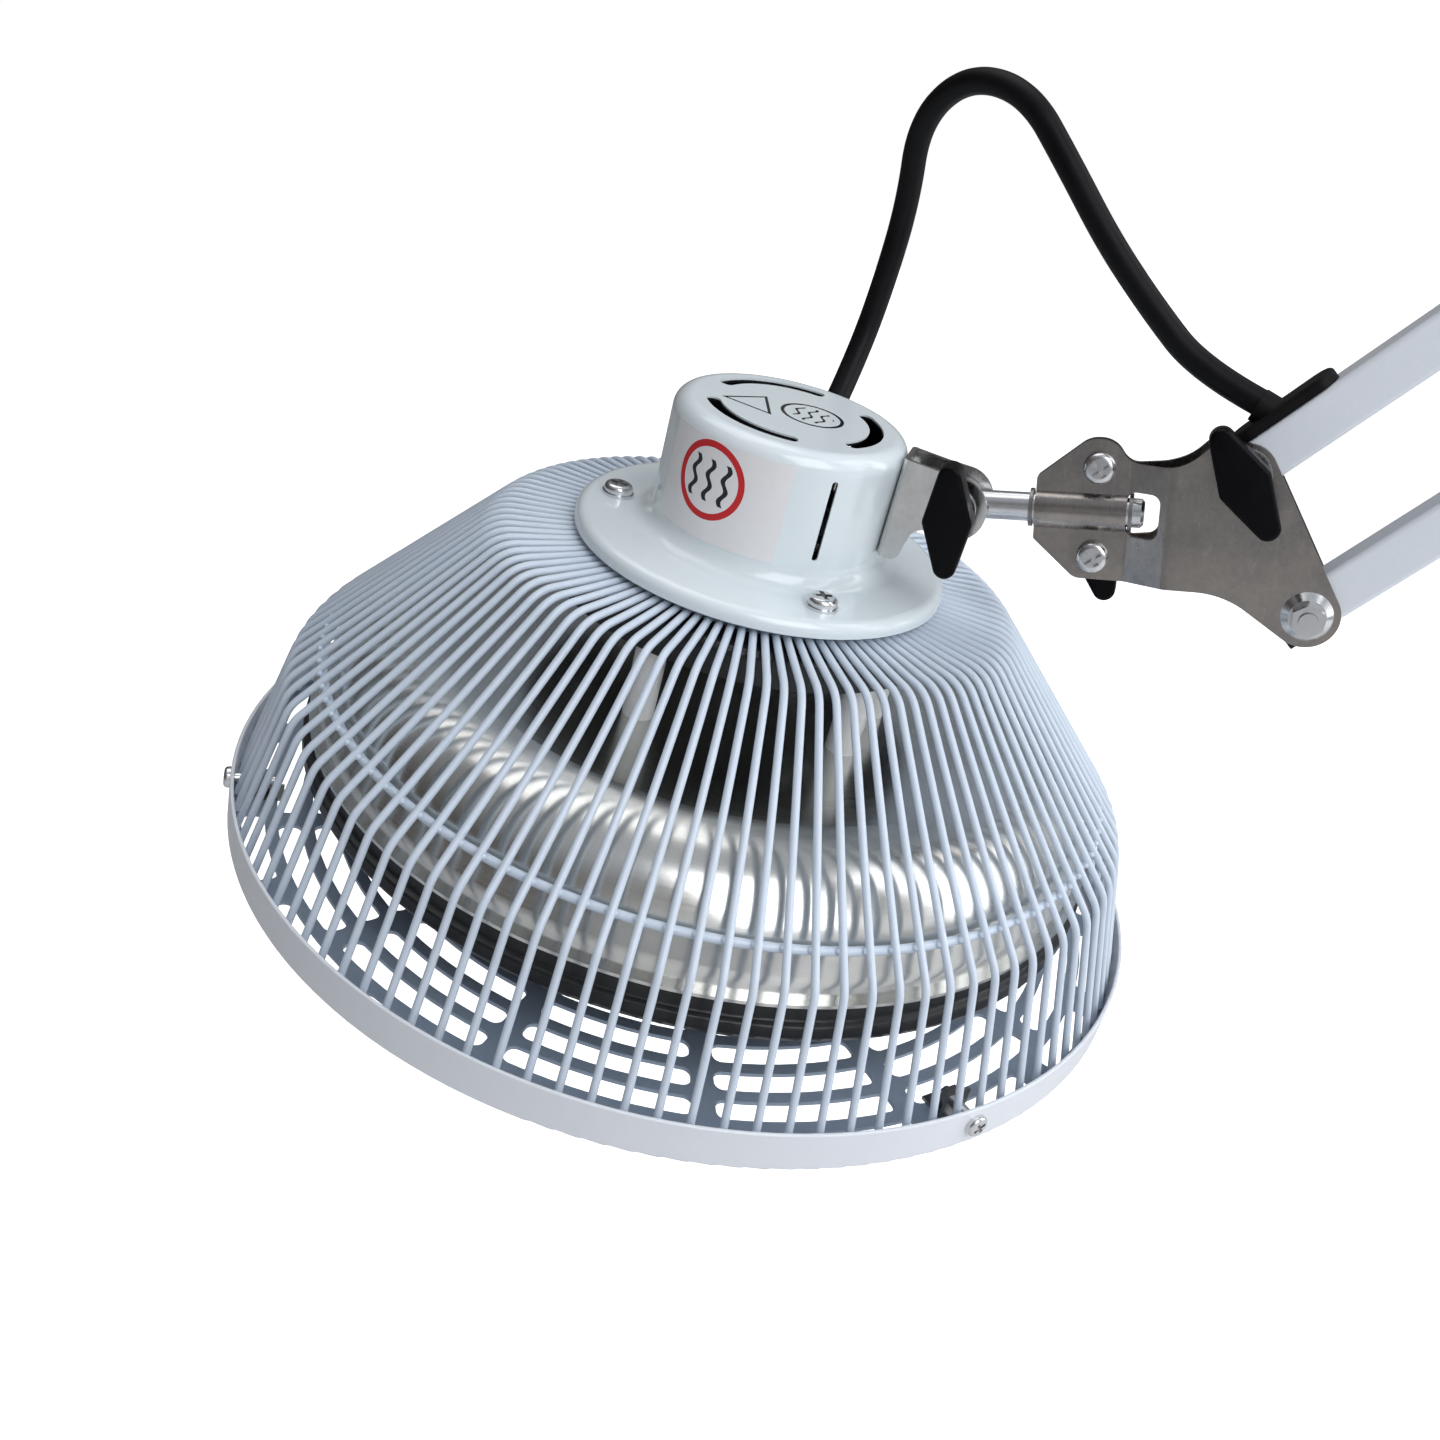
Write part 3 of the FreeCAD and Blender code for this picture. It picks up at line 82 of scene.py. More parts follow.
def head_place() -> Matrix:
    """The placement of the lamp head's own frame in the row frame, in metres."""
    turn = Matrix.Rotation(HEAD_ROLL, 4, "X") @ Matrix.Rotation(HEAD_TILT, 4, "Y")
    return metres(Matrix.Translation(TILT_PIVOT) @ turn @ Matrix.Translation(-PIVOT_IN_HEAD))


def axis_place(origin: Vector, z_axis: Vector, y_axis: Vector) -> Matrix:
    """A placement from an origin and two directions.

    Args:
        origin: Where the frame sits, in metres.
        z_axis: The direction of its Z.
        y_axis: The direction of its Y, as near as the Z allows.

    Returns:
        The placement matrix.
    """
    z = z_axis.normalized()
    x = y_axis.cross(z).normalized()
    y = z.cross(x)
    place = Matrix((x, y, z)).transposed().to_4x4()
    place.translation = origin
    return place


HEAD = head_place()


# ==== shader graphs ====


@dataclass
class Graph:
    """A node tree with short ways to add and join nodes."""

    tree: bpy.types.NodeTree

    def node(self, kind: str, **settings: object) -> bpy.types.Node:
        """Adds a node and sets its properties.

        Args:
            kind: The node's type name.
            settings: Properties of the node.

        Returns:
            The new node.
        """
        made = self.tree.nodes.new(kind)
        for name, value in settings.items():
            setattr(made, name, value)
        return made

    def feed(self, socket: bpy.types.NodeSocket, value: object) -> None:
        """Links a socket, or sets it to a constant."""
        if isinstance(value, bpy.types.NodeSocket):
            self.tree.links.new(value, socket)
        else:
            socket.default_value = value

    def math(self, operation: str, *values: object, clamp: bool = False) -> bpy.types.NodeSocket:
        """A math node.

        Args:
            operation: What it does.
            values: Its inputs, as sockets or numbers.
            clamp: Whether the answer is kept between 0 and 1.

        Returns:
            The answer's socket.
        """
        made = self.node("ShaderNodeMath", operation=operation, use_clamp=clamp)
        for socket, value in zip(made.inputs, values):
            self.feed(socket, value)
        return made.outputs[0]

    def vector_math(self, operation: str, *values: object) -> bpy.types.Node:
        """A vector math node with its inputs fed."""
        made = self.node("ShaderNodeVectorMath", operation=operation)
        for socket, value in zip(made.inputs, values):
            self.feed(socket, value)
        return made

    def split(self, vector: object) -> Sequence[bpy.types.NodeSocket]:
        """The X, Y and Z of a vector."""
        made = self.node("ShaderNodeSeparateXYZ")
        self.feed(made.inputs[0], vector)
        return list(made.outputs)

    def distance(self, x: object, y: object) -> bpy.types.NodeSocket:
        """How far a point of a plane is from the plane's origin."""
        squares = self.math("ADD", self.math("MULTIPLY", x, x), self.math("MULTIPLY", y, y))
        return self.math("SQRT", squares)

    def remap(self, value: object, low: float, high: float, out_low: float = 0.0, out_high: float = 1.0
              ) -> bpy.types.NodeSocket:
        """Maps a value from one range to another, clamped."""
        made = self.node("ShaderNodeMapRange")
        for name, entry in (("Value", value), ("From Min", low), ("From Max", high),
                            ("To Min", out_low), ("To Max", out_high)):
            self.feed(made.inputs[name], entry)
        return made.outputs["Result"]

    def noise(self, vector: object, scale: object, detail: float = 2.0, roughness: float = 0.5
              ) -> bpy.types.NodeSocket:
        """A noise texture's value."""
        made = self.node("ShaderNodeTexNoise")
        self.feed(made.inputs["Vector"], vector)
        self.feed(made.inputs["Scale"], scale)
        made.inputs["Detail"].default_value = detail
        made.inputs["Roughness"].default_value = roughness
        return made.outputs["Fac"]

    def mix(self, factor: object, first: object, second: object) -> bpy.types.NodeSocket:
        """A colour between two colours."""
        made = self.node("ShaderNodeMix", data_type="RGBA", clamp_factor=True)
        self.feed(made.inputs[0], factor)
        for socket, value in ((made.inputs[6], first), (made.inputs[7], second)):
            self.feed(socket, (*value, 1.0) if isinstance(value, tuple) and len(value) == 3 else value)
        return made.outputs[2]


class Effect(Enum):
    """The shader node groups that more than one finish uses."""

    MOTTLE = "slow_mottle"
    PEEL = "paint_peel"
    GRAIN = "metal_grain"
    DUST = "settled_dust"
    SPUN = "spun_rings"


class EffectShop:
    """Builds each shader node group once and hands it out."""

    def __init__(self) -> None:
        """Starts with no group built."""
        self._made: Dict[Effect, bpy.types.NodeTree] = {}

    def get(self, effect: Effect) -> bpy.types.NodeTree:
        """The group of an effect, built on first use."""
        if effect not in self._made:
            self._made[effect] = getattr(self, "_" + effect.name.lower())(effect.value)
        return self._made[effect]

    @staticmethod
    def _open(name: str, inputs: Sequence[Tuple[str, str, object]], outputs: Sequence[Tuple[str, str]]
              ) -> Tuple[Graph, bpy.types.Node, bpy.types.Node]:
        """Makes an empty group with its sockets.

        Args:
            name: The group's name.
            inputs: Name, socket type and default of each input.
            outputs: Name and socket type of each output.

        Returns:
            The graph, its input node and its output node.
        """
        tree = bpy.data.node_groups.new(name, "ShaderNodeTree")
        for label, kind, default in inputs:
            socket = tree.interface.new_socket(name=label, in_out="INPUT", socket_type=kind)
            if default is not None:
                socket.default_value = default
        for label, kind in outputs:
            tree.interface.new_socket(name=label, in_out="OUTPUT", socket_type=kind)
        graph = Graph(tree)
        return graph, graph.node("NodeGroupInput"), graph.node("NodeGroupOutput")

    def _mottle(self, name: str) -> bpy.types.NodeTree:
        """Slow changes of tone, a few centimetres long, with smaller blotches."""
        graph, given, out = self._open(
            name, [("Vector", "NodeSocketVector", None), ("Size", "NodeSocketFloat", 40.0)],
            [("Mask", "NodeSocketFloat")])
        broad = graph.noise(given.outputs["Vector"], given.outputs["Size"], 3.0, 0.55)
        small_size = graph.math("MULTIPLY", given.outputs["Size"], 7.0)
        small = graph.noise(given.outputs["Vector"], small_size, 2.0)
        both = graph.math("ADD", graph.math("MULTIPLY", broad, 0.7), graph.math("MULTIPLY", small, 0.3))
        graph.feed(out.inputs["Mask"], graph.remap(both, 0.35, 0.65))
        return graph.tree

    def _peel(self, name: str) -> bpy.types.NodeTree:
        """The fine orange peel of sprayed paint or powder coat."""
        graph, given, out = self._open(
            name, [("Vector", "NodeSocketVector", None), ("Size", "NodeSocketFloat", 900.0)],
            [("Height", "NodeSocketFloat")])
        cells = graph.node("ShaderNodeTexVoronoi", feature="SMOOTH_F1")
        cells.inputs["Smoothness"].default_value = 1.0
        graph.feed(cells.inputs["Vector"], given.outputs["Vector"])
        graph.feed(cells.inputs["Scale"], given.outputs["Size"])
        soft = graph.noise(given.outputs["Vector"], given.outputs["Size"], 1.0)
        graph.feed(out.inputs["Height"], graph.math("ADD", cells.outputs["Distance"], soft))
        return graph.tree

    def _grain(self, name: str) -> bpy.types.NodeTree:
        """Rolled or brushed metal: streaks along one axis over fine speckle."""
        graph, given, out = self._open(
            name, [("Vector", "NodeSocketVector", None), ("Stretch", "NodeSocketVector", (1.0, 1.0, 1.0)),
                   ("Size", "NodeSocketFloat", 1500.0)],
            [("Mask", "NodeSocketFloat"), ("Height", "NodeSocketFloat")])
        pulled = graph.vector_math("MULTIPLY", given.outputs["Vector"], given.outputs["Stretch"])
        streaks = graph.noise(pulled.outputs[0], given.outputs["Size"], 3.0, 0.6)
        speckle = graph.noise(given.outputs["Vector"], given.outputs["Size"], 2.0, 0.7)
        both = graph.math("ADD", graph.math("MULTIPLY", streaks, 0.6), graph.math("MULTIPLY", speckle, 0.4))
        graph.feed(out.inputs["Mask"], graph.remap(both, 0.36, 0.64))
        graph.feed(out.inputs["Height"], both)
        return graph.tree

    def _dust(self, name: str) -> bpy.types.NodeTree:
        """Thin dust that settles on what faces up, broken up by noise."""
        graph, given, out = self._open(
            name, [("Vector", "NodeSocketVector", None), ("Amount", "NodeSocketFloat", 0.2)],
            [("Mask", "NodeSocketFloat")])
        normal = graph.node("ShaderNodeNewGeometry").outputs["Normal"]
        upward = graph.remap(graph.split(normal)[2], 0.3, 1.0)
        specks = graph.remap(graph.noise(given.outputs["Vector"], 420.0, 4.0, 0.7), 0.45, 0.75)
        dusty = graph.math("MULTIPLY", upward, specks)
        graph.feed(out.inputs["Mask"], graph.math("MULTIPLY", dusty, given.outputs["Amount"], clamp=True))
        return graph.tree

    def _spun(self, name: str) -> bpy.types.NodeTree:
        """Fine turning marks round the Z axis of the vector's frame."""
        graph, given, out = self._open(
            name, [("Vector", "NodeSocketVector", None), ("Size", "NodeSocketFloat", 2500.0)],
            [("Mask", "NodeSocketFloat"), ("Height", "NodeSocketFloat")])
        x, y, z = graph.split(given.outputs["Vector"])
        radius = graph.distance(x, y)
        rings = graph.node("ShaderNodeCombineXYZ")
        graph.feed(rings.inputs[0], radius)
        graph.feed(rings.inputs[2], z)
        marks = graph.noise(rings.outputs[0], given.outputs["Size"], 3.0, 0.6)
        graph.feed(out.inputs["Mask"], graph.remap(marks, 0.35, 0.65))
        graph.feed(out.inputs["Height"], marks)
        return graph.tree


EFFECTS = EffectShop()


@dataclass
class Coat:
    """A material being made: its graph, its shader and the vector its patterns read."""

    graph: Graph
    shader: bpy.types.Node
    vector: bpy.types.NodeSocket
    material: bpy.types.Material

    @classmethod
    def start(cls, name: str, frame_matrix: Optional[Matrix] = None) -> "Coat":
        """Opens a new material.

        Args:
            name: The material's name.
            frame_matrix: The placement whose own frame the patterns are laid in; the row's if left out.

        Returns:
            The coat, ready to be given its patterns.
        """
        material = bpy.data.materials.new(name)
        material.use_nodes = True
        graph = Graph(material.node_tree)
        shader = material.node_tree.nodes["Principled BSDF"]
        vector = graph.node("ShaderNodeTexCoord").outputs["Object"]
        if frame_matrix is not None:
            mapping = graph.node("ShaderNodeMapping", vector_type="POINT")
            back = frame_matrix.inverted()
            mapping.inputs["Rotation"].default_value = back.to_euler("XYZ")
            mapping.inputs["Location"].default_value = back.translation
            graph.feed(mapping.inputs["Vector"], vector)
            vector = mapping.outputs["Vector"]
        return cls(graph, shader, vector, material)

    def effect(self, kind: Effect, **values: object) -> bpy.types.Node:
        """Adds a node group to the material and feeds it."""
        made = self.graph.node("ShaderNodeGroup", node_tree=EFFECTS.get(kind))
        self.graph.feed(made.inputs["Vector"], self.vector)
        for label, value in values.items():
            self.graph.feed(made.inputs[label], value)
        return made

    def bump(self, height: bpy.types.NodeSocket, depth: float, strength: float = 1.0) -> None:
        """Turns a height into the shader's normal; depth is in metres."""
        made = self.graph.node("ShaderNodeBump")
        made.inputs["Distance"].default_value = depth
        made.inputs["Strength"].default_value = strength
        self.graph.feed(made.inputs["Height"], height)
        self.graph.feed(self.shader.inputs["Normal"], made.outputs["Normal"])

    def set(self, **values: object) -> None:
        """Sets or links sockets of the shader; an underscore in a name stands for a space."""
        for name, value in values.items():
            socket = self.shader.inputs[name.replace("_", " ")]
            self.graph.feed(socket, (*value, 1.0) if isinstance(value, tuple) and len(value) == 3 else value)


# ==== finishes ====


@dataclass(frozen=True)
class Paint:
    """Sprayed or powder-coated paint with orange peel, slow mottle and a little dust."""

    name: str
    colour: Colour
    shade: Colour
    roughness: float = 0.28
    coat: float = 0.3
    peel_depth: float = 0.00002
    dust: float = 0.12

    def make(self) -> bpy.types.Material:
        """Builds the material."""
        coat = Coat.start(self.name)
        mottle = coat.effect(Effect.MOTTLE, Size=45.0).outputs["Mask"]
        dust = coat.effect(Effect.DUST, Amount=self.dust).outputs["Mask"]
        tone = coat.graph.mix(coat.graph.math("MULTIPLY", mottle, 0.5), self.colour, self.shade)
        coat.set(Base_Color=coat.graph.mix(dust, tone, (0.62, 0.60, 0.56)),
                 Roughness=coat.graph.math("ADD", coat.graph.remap(mottle, 0.0, 1.0, self.roughness,
                                                                   self.roughness + 0.06), dust),
                 Coat_Weight=self.coat, Coat_Roughness=0.12)
        coat.bump(coat.effect(Effect.PEEL, Size=800.0).outputs["Height"], self.peel_depth)
        return coat.material


@dataclass(frozen=True)
class Plating:
    """Zinc-plated or bright sheet and bar, with rolled grain and uneven gloss."""

    name: str
    colour: Colour
    tarnish: Colour
    roughness: float = 0.3
    rough_spread: float = 0.1
    stretch: Point = (1.0, 0.12, 0.12)
    grain_depth: float = 0.000006
    metallic: float = 1.0

    def make(self) -> bpy.types.Material:
        """Builds the material."""
        coat = Coat.start(self.name)
        grain = coat.effect(Effect.GRAIN, Stretch=self.stretch, Size=1400.0)
        mottle = coat.effect(Effect.MOTTLE, Size=90.0).outputs["Mask"]
        coat.set(Base_Color=coat.graph.mix(mottle, self.colour, self.tarnish), Metallic=self.metallic,
                 Roughness=coat.graph.remap(grain.outputs["Mask"], 0.0, 1.0, self.roughness,
                                            self.roughness + self.rough_spread))
        coat.bump(grain.outputs["Height"], self.grain_depth)
        return coat.material


@dataclass(frozen=True)
class Moulding:
    """Moulded plastic, rubber or ceramic: even colour, fine texture, worn gloss."""

    name: str
    colour: Colour
    worn: Colour
    roughness: float = 0.45
    texture_size: float = 2500.0
    texture_depth: float = 0.00001
    specular: float = 0.5
    dust: float = 0.1

    def make(self) -> bpy.types.Material:
        """Builds the material."""
        coat = Coat.start(self.name)
        mottle = coat.effect(Effect.MOTTLE, Size=120.0).outputs["Mask"]
        dust = coat.effect(Effect.DUST, Amount=self.dust).outputs["Mask"]
        tone = coat.graph.mix(mottle, self.colour, self.worn)
        coat.set(Base_Color=coat.graph.mix(dust, tone, (0.45, 0.43, 0.40)),
                 Roughness=coat.graph.remap(mottle, 0.0, 1.0, self.roughness, self.roughness + 0.12),
                 Specular_IOR_Level=self.specular)
        coat.bump(coat.effect(Effect.PEEL, Size=self.texture_size).outputs["Height"], self.texture_depth)
        return coat.material


@dataclass(frozen=True)
class SpunMetal:
    """Polished spun sheet with turning marks round the head's axis and faint smears."""

    name: str
    colour: Colour
    smear: Colour
    roughness: float = 0.06
    metallic: float = 1.0
    mark_depth: float = 0.000004

    def make(self) -> bpy.types.Material:
        """Builds the material."""
        coat = Coat.start(self.name, HEAD)
        spun = coat.effect(Effect.SPUN, Size=1400.0)
        mottle = coat.effect(Effect.MOTTLE, Size=28.0).outputs["Mask"]
        rough = coat.graph.math("ADD", coat.graph.remap(spun.outputs["Mask"], 0.0, 1.0, self.roughness,
                                                        self.roughness + 0.05),
                                coat.graph.math("MULTIPLY", mottle, 0.04))
        coat.set(Base_Color=coat.graph.mix(mottle, self.colour, self.smear), Metallic=self.metallic,
                 Roughness=rough)
        coat.bump(spun.outputs["Height"], self.mark_depth)
        return coat.material


@dataclass(frozen=True)
class CapPaint:
    """The cap's gloss paint with a printed ring and a small outlined triangle on its top, and painted shade:
    its inner faces are coloured near-black so the inside of the cap reads dark.
    """

    name: str = "white_gloss_cap"
    colour: Colour = (0.80, 0.87, 0.90)
    shade: Colour = (0.74, 0.83, 0.87)
    ink: Colour = (0.015, 0.017, 0.02)
    top_z: float = 0.1478
    ring_centre: Tuple[float, float] = (0.0048, 0.0018)
    ring_radius: float = 0.0088
    line: float = 0.0011
    triangle_centre: Tuple[float, float] = (-0.0118, -0.0030)
    triangle_reach: float = 0.0042
    # Painted shade: the corner and radius of the rounded region just inside the cap's skin that is coloured
    # near-black.
    round_start: Tuple[float, float] = (0.0295, 0.1435)
    round_inner: float = 0.0045

    def _ring(self, graph: Graph, x: object, y: object) -> bpy.types.NodeSocket:
        """The mask of the ring and the bars across it."""
        dx = graph.math("SUBTRACT", x, self.ring_centre[0])
        dy = graph.math("SUBTRACT", y, self.ring_centre[1])
        far = graph.distance(dx, dy)
        off = graph.math("ABSOLUTE", graph.math("SUBTRACT", far, self.ring_radius))
        ring = graph.math("LESS_THAN", off, self.line / 2)
        inside = graph.math("LESS_THAN", far, self.ring_radius * 0.72)
        wave = graph.math("MULTIPLY", graph.math("SINE", graph.math("MULTIPLY", dy, 900.0)), 0.0008)
        column = graph.math("PINGPONG", graph.math("ADD", graph.math("ADD", dx, wave), 0.05), 0.0019)
        bars = graph.math("MULTIPLY", inside, graph.math("LESS_THAN", column, 0.00045))
        return graph.math("MAXIMUM", ring, bars)

    def _triangle(self, graph: Graph, x: object, y: object) -> bpy.types.NodeSocket:
        """The mask of the triangle's outline."""
        dx = graph.math("SUBTRACT", x, self.triangle_centre[0])
        dy = graph.math("SUBTRACT", y, self.triangle_centre[1])
        edges: List[bpy.types.NodeSocket] = []
        for degrees in (0.0, 120.0, 240.0):
            turn = math.radians(degrees + 20.0)
            edges.append(graph.math("ADD", graph.math("MULTIPLY", dx, math.cos(turn)),
                                    graph.math("MULTIPLY", dy, math.sin(turn))))
        reach = graph.math("MAXIMUM", graph.math("MAXIMUM", edges[0], edges[1]), edges[2])
        off = graph.math("ABSOLUTE", graph.math("SUBTRACT", reach, self.triangle_reach))
        return graph.math("LESS_THAN", off, self.line / 2.4)

    def make(self) -> bpy.types.Material:
        """Builds the material."""
        coat = Coat.start(self.name, HEAD)
        graph = coat.graph
        x, y, z = graph.split(coat.vector)
        on_top = graph.math("GREATER_THAN", z, self.top_z)
        ink = graph.math("MULTIPLY", on_top, graph.math("MAXIMUM", self._ring(graph, x, y),
                                                        self._triangle(graph, x, y)))
        # Painted shade: every face just inside the cap's rounded outer skin takes the ink colour, so the
        # inside of the cap reads dark; from here the ink mask holds both the print and this painted shade.
        out = graph.math("MAXIMUM", graph.math("SUBTRACT", graph.distance(x, y), self.round_start[0]), 0.0)
        over = graph.math("MAXIMUM", graph.math("SUBTRACT", z, self.round_start[1]), 0.0)
        inside = graph.math("LESS_THAN", graph.distance(out, over), self.round_inner)
        ink = graph.math("MAXIMUM", ink, inside)
        mottle = coat.effect(Effect.MOTTLE, Size=35.0).outputs["Mask"]
        tone = graph.mix(graph.math("MULTIPLY", mottle, 0.5), self.colour, self.shade)
        coat.set(Base_Color=graph.mix(ink, tone, self.ink),
                 Roughness=graph.remap(mottle, 0.0, 1.0, 0.13, 0.19), Coat_Weight=0.5, Coat_Roughness=0.05)
        coat.bump(coat.effect(Effect.PEEL, Size=450.0).outputs["Height"], 0.000025)
        return coat.material


@dataclass(frozen=True)
class LabelPrint:
    """White foil with a red ring round three heat waves; it reads the label's own UV map, in millimetres."""

    name: str = "heat_label"
    paper: Colour = (0.86, 0.86, 0.87)
    red: Colour = (0.62, 0.015, 0.02)
    ink: Colour = (0.012, 0.012, 0.014)
    centre: Tuple[float, float] = (18.0, 17.0)
    radius: float = 10.2
    ring: float = 1.9
    wave_depth: float = 0.75
    wave_half_line: float = 0.75
    wave_gap: float = 2.6
    wave_half_height: float = 6.0
    wave_half_width: float = 6.4

    def make(self) -> bpy.types.Material:
        """Builds the material."""
        coat = Coat.start(self.name)
        graph = coat.graph
        uv = graph.node("ShaderNodeUVMap", uv_map="label").outputs["UV"]
        x, y, _ = graph.split(uv)
        dx = graph.math("SUBTRACT", x, self.centre[0])
        dy = graph.math("SUBTRACT", y, self.centre[1])
        far = graph.distance(dx, dy)
        ring = graph.math("LESS_THAN", graph.math("ABSOLUTE", graph.math("SUBTRACT", far, self.radius)),
                          self.ring / 2)
        wave = graph.math("MULTIPLY", graph.math("SINE", graph.math("MULTIPLY", dy, 1.05)), self.wave_depth)
        column = graph.math("PINGPONG", graph.math("ADD", graph.math("ADD", dx, wave), 20 * self.wave_gap),
                            self.wave_gap)
        tall = graph.math("LESS_THAN", graph.math("ABSOLUTE", dy), self.wave_half_height)
        near = graph.math("LESS_THAN", graph.math("ABSOLUTE", graph.math("ADD", dx, wave)),
                          self.wave_half_width)
        lines = graph.math("MULTIPLY", graph.math("LESS_THAN", column, self.wave_half_line),
                           graph.math("MULTIPLY", tall, near))
        mottle = coat.effect(Effect.MOTTLE, Size=60.0).outputs["Mask"]
        paper = graph.mix(graph.math("MULTIPLY", mottle, 0.4), self.paper, (0.80, 0.79, 0.80))
        coat.set(Base_Color=graph.mix(ring, graph.mix(lines, paper, self.ink), self.red),
                 Roughness=graph.remap(mottle, 0.0, 1.0, 0.32, 0.42))
        coat.bump(mottle, 0.00005)
        return coat.material


@dataclass(frozen=True)
class CordJacket:
    """Black flexible rubber; its faint mould lines run along the cord's own UV map."""

    name: str = "rubber_jacket"
    colour: Colour = (0.003, 0.003, 0.004)
    roughness: float = 0.40

    def make(self) -> bpy.types.Material:
        """Builds the material."""
        coat = Coat.start(self.name)
        graph = coat.graph
        uv = graph.node("ShaderNodeUVMap", uv_map="length").outputs["UV"]
        pulled = graph.vector_math("MULTIPLY", uv, (1.0, 0.06, 1.0))
        lines = graph.noise(pulled.outputs[0], 60.0, 2.0)
        mottle = coat.effect(Effect.MOTTLE, Size=70.0).outputs["Mask"]
        dust = coat.effect(Effect.DUST, Amount=0.01).outputs["Mask"]
        tone = graph.mix(mottle, self.colour, (0.006, 0.006, 0.007))
        coat.set(Base_Color=graph.mix(dust, tone, (0.20, 0.19, 0.18)), Specular_IOR_Level=0.16,
                 Roughness=graph.remap(mottle, 0.0, 1.0, self.roughness, self.roughness + 0.1))
        coat.bump(graph.math("ADD", lines, coat.effect(Effect.PEEL, Size=2200.0).outputs["Height"]), 0.00001)
        return coat.material


@dataclass(frozen=True)
class Floor:
    """The plain pale floor."""

    name: str = "pale_floor"
    colour: Colour = (0.86, 0.86, 0.86)

    def make(self) -> bpy.types.Material:
        """Builds the material."""
        coat = Coat.start(self.name)
        mottle = coat.effect(Effect.MOTTLE, Size=3.0).outputs["Mask"]
        coat.set(Base_Color=coat.graph.mix(mottle, self.colour, (0.84, 0.84, 0.84)), Roughness=0.6,
                 Emission_Color=(1.0, 1.0, 1.0),
                 Emission_Strength=coat.graph.node("ShaderNodeLightPath").outputs["Is Camera Ray"])
        return coat.material


class Finishes:
    """Every finish of the lamp, by the record's slot names."""

    def __init__(self) -> None:
        """Makes the materials."""
        self.by_slot: Dict[str, bpy.types.Material] = {
            finish_slot: finish.make() for finish_slot, finish in self._list().items()}
        self.by_node: Dict[str, bpy.types.Material] = {
            "tilt_bracket": Plating("bright_zinc_bracket", (0.74, 0.74, 0.73), (0.60, 0.60, 0.58),
                                    0.15).make(),
            "guard_band": Paint("white_band", (0.80, 0.83, 0.88), (0.76, 0.80, 0.86), 0.3, 0.2).make()}
        self.jacket = CordJacket().make()
        self.label = LabelPrint().make()

    @staticmethod
    def _list() -> Dict[str, object]:
        """The finish of each slot."""
        return {
            "white_guard": Paint("cool_white_wire", (0.66, 0.74, 0.84), (0.60, 0.69, 0.81), 0.3, 0.25),
            "white_cap": CapPaint(),
            "white_arm": Paint("white_powder_coat", (0.80, 0.84, 0.90), (0.75, 0.80, 0.87), 0.33, 0.15,
                               0.00003),
            "blue_grey": Paint("blue_grey_grille", (0.30, 0.37, 0.47), (0.26, 0.33, 0.43), 0.35, 0.1),
            "black_enamel": Paint("black_enamel", (0.005, 0.005, 0.006), (0.008, 0.008, 0.009), 0.30, 0.08,
                                  0.000012, 0.02),
            "mirror_aluminium": SpunMetal("mirror_aluminium", (0.74, 0.74, 0.72), (0.62, 0.62, 0.59), 0.17),
            "zinc_plate": Plating("zinc_plated_sheet", (0.40, 0.37, 0.34), (0.30, 0.28, 0.27), 0.17, 0.12),
            "bright_steel": Plating("bright_zinc_steel", (0.76, 0.76, 0.77), (0.66, 0.67, 0.68), 0.16, 0.1),
            "dark_steel": Plating("spring_steel", (0.33, 0.32, 0.31), (0.25, 0.24, 0.24), 0.3, 0.12),
            "nylon": Moulding("natural_nylon", (0.72, 0.72, 0.68), (0.66, 0.66, 0.62), 0.45),
            "black_knob": Moulding("black_knob", (0.002, 0.002, 0.003), (0.003, 0.003, 0.004), 0.26, 2500.0,
                                   0.00001, 0.10, 0.005),
            "black_plug": Moulding("black_plug", (0.008, 0.008, 0.009), (0.012, 0.012, 0.012), 0.5, 2500.0,
                                   0.00001, 0.25, 0.03),
            "black_rubber": Moulding("black_rubber", (0.004, 0.004, 0.005), (0.008, 0.008, 0.008), 0.42,
                                     2500.0, 0.00001, 0.14, 0.01),
            "ceramic": Moulding("white_ceramic", (0.90, 0.90, 0.89), (0.85, 0.84, 0.82), 0.3, 1200.0),
            "mineral": Moulding("mineral_coating", (0.055, 0.050, 0.046), (0.085, 0.078, 0.070), 0.8, 1500.0,
                                0.00008, 0.3),
            "fibre": Moulding("ceramic_fibre", (0.70, 0.68, 0.62), (0.62, 0.60, 0.55), 0.9, 900.0, 0.0001,
                              0.2),
            "white_wire": Moulding("glass_sleeve", (0.76, 0.76, 0.72), (0.66, 0.66, 0.62), 0.6, 1800.0,
                                   0.00005),
        }

    def dress_frame(self) -> None:
        """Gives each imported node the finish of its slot."""
        for part in frame["record"]["subparts"]:
            node = frame["nodes"][part["node"]]
            material = self.by_node.get(part["node"], self.by_slot[part["material_slot"]])
            if not node.material_slots:
                node.data.materials.append(material)
            for place in node.material_slots:
                place.material = material
            LOG.info("dressed %s as %s", part["node"], part["material_slot"])


# ==== the workbench ====


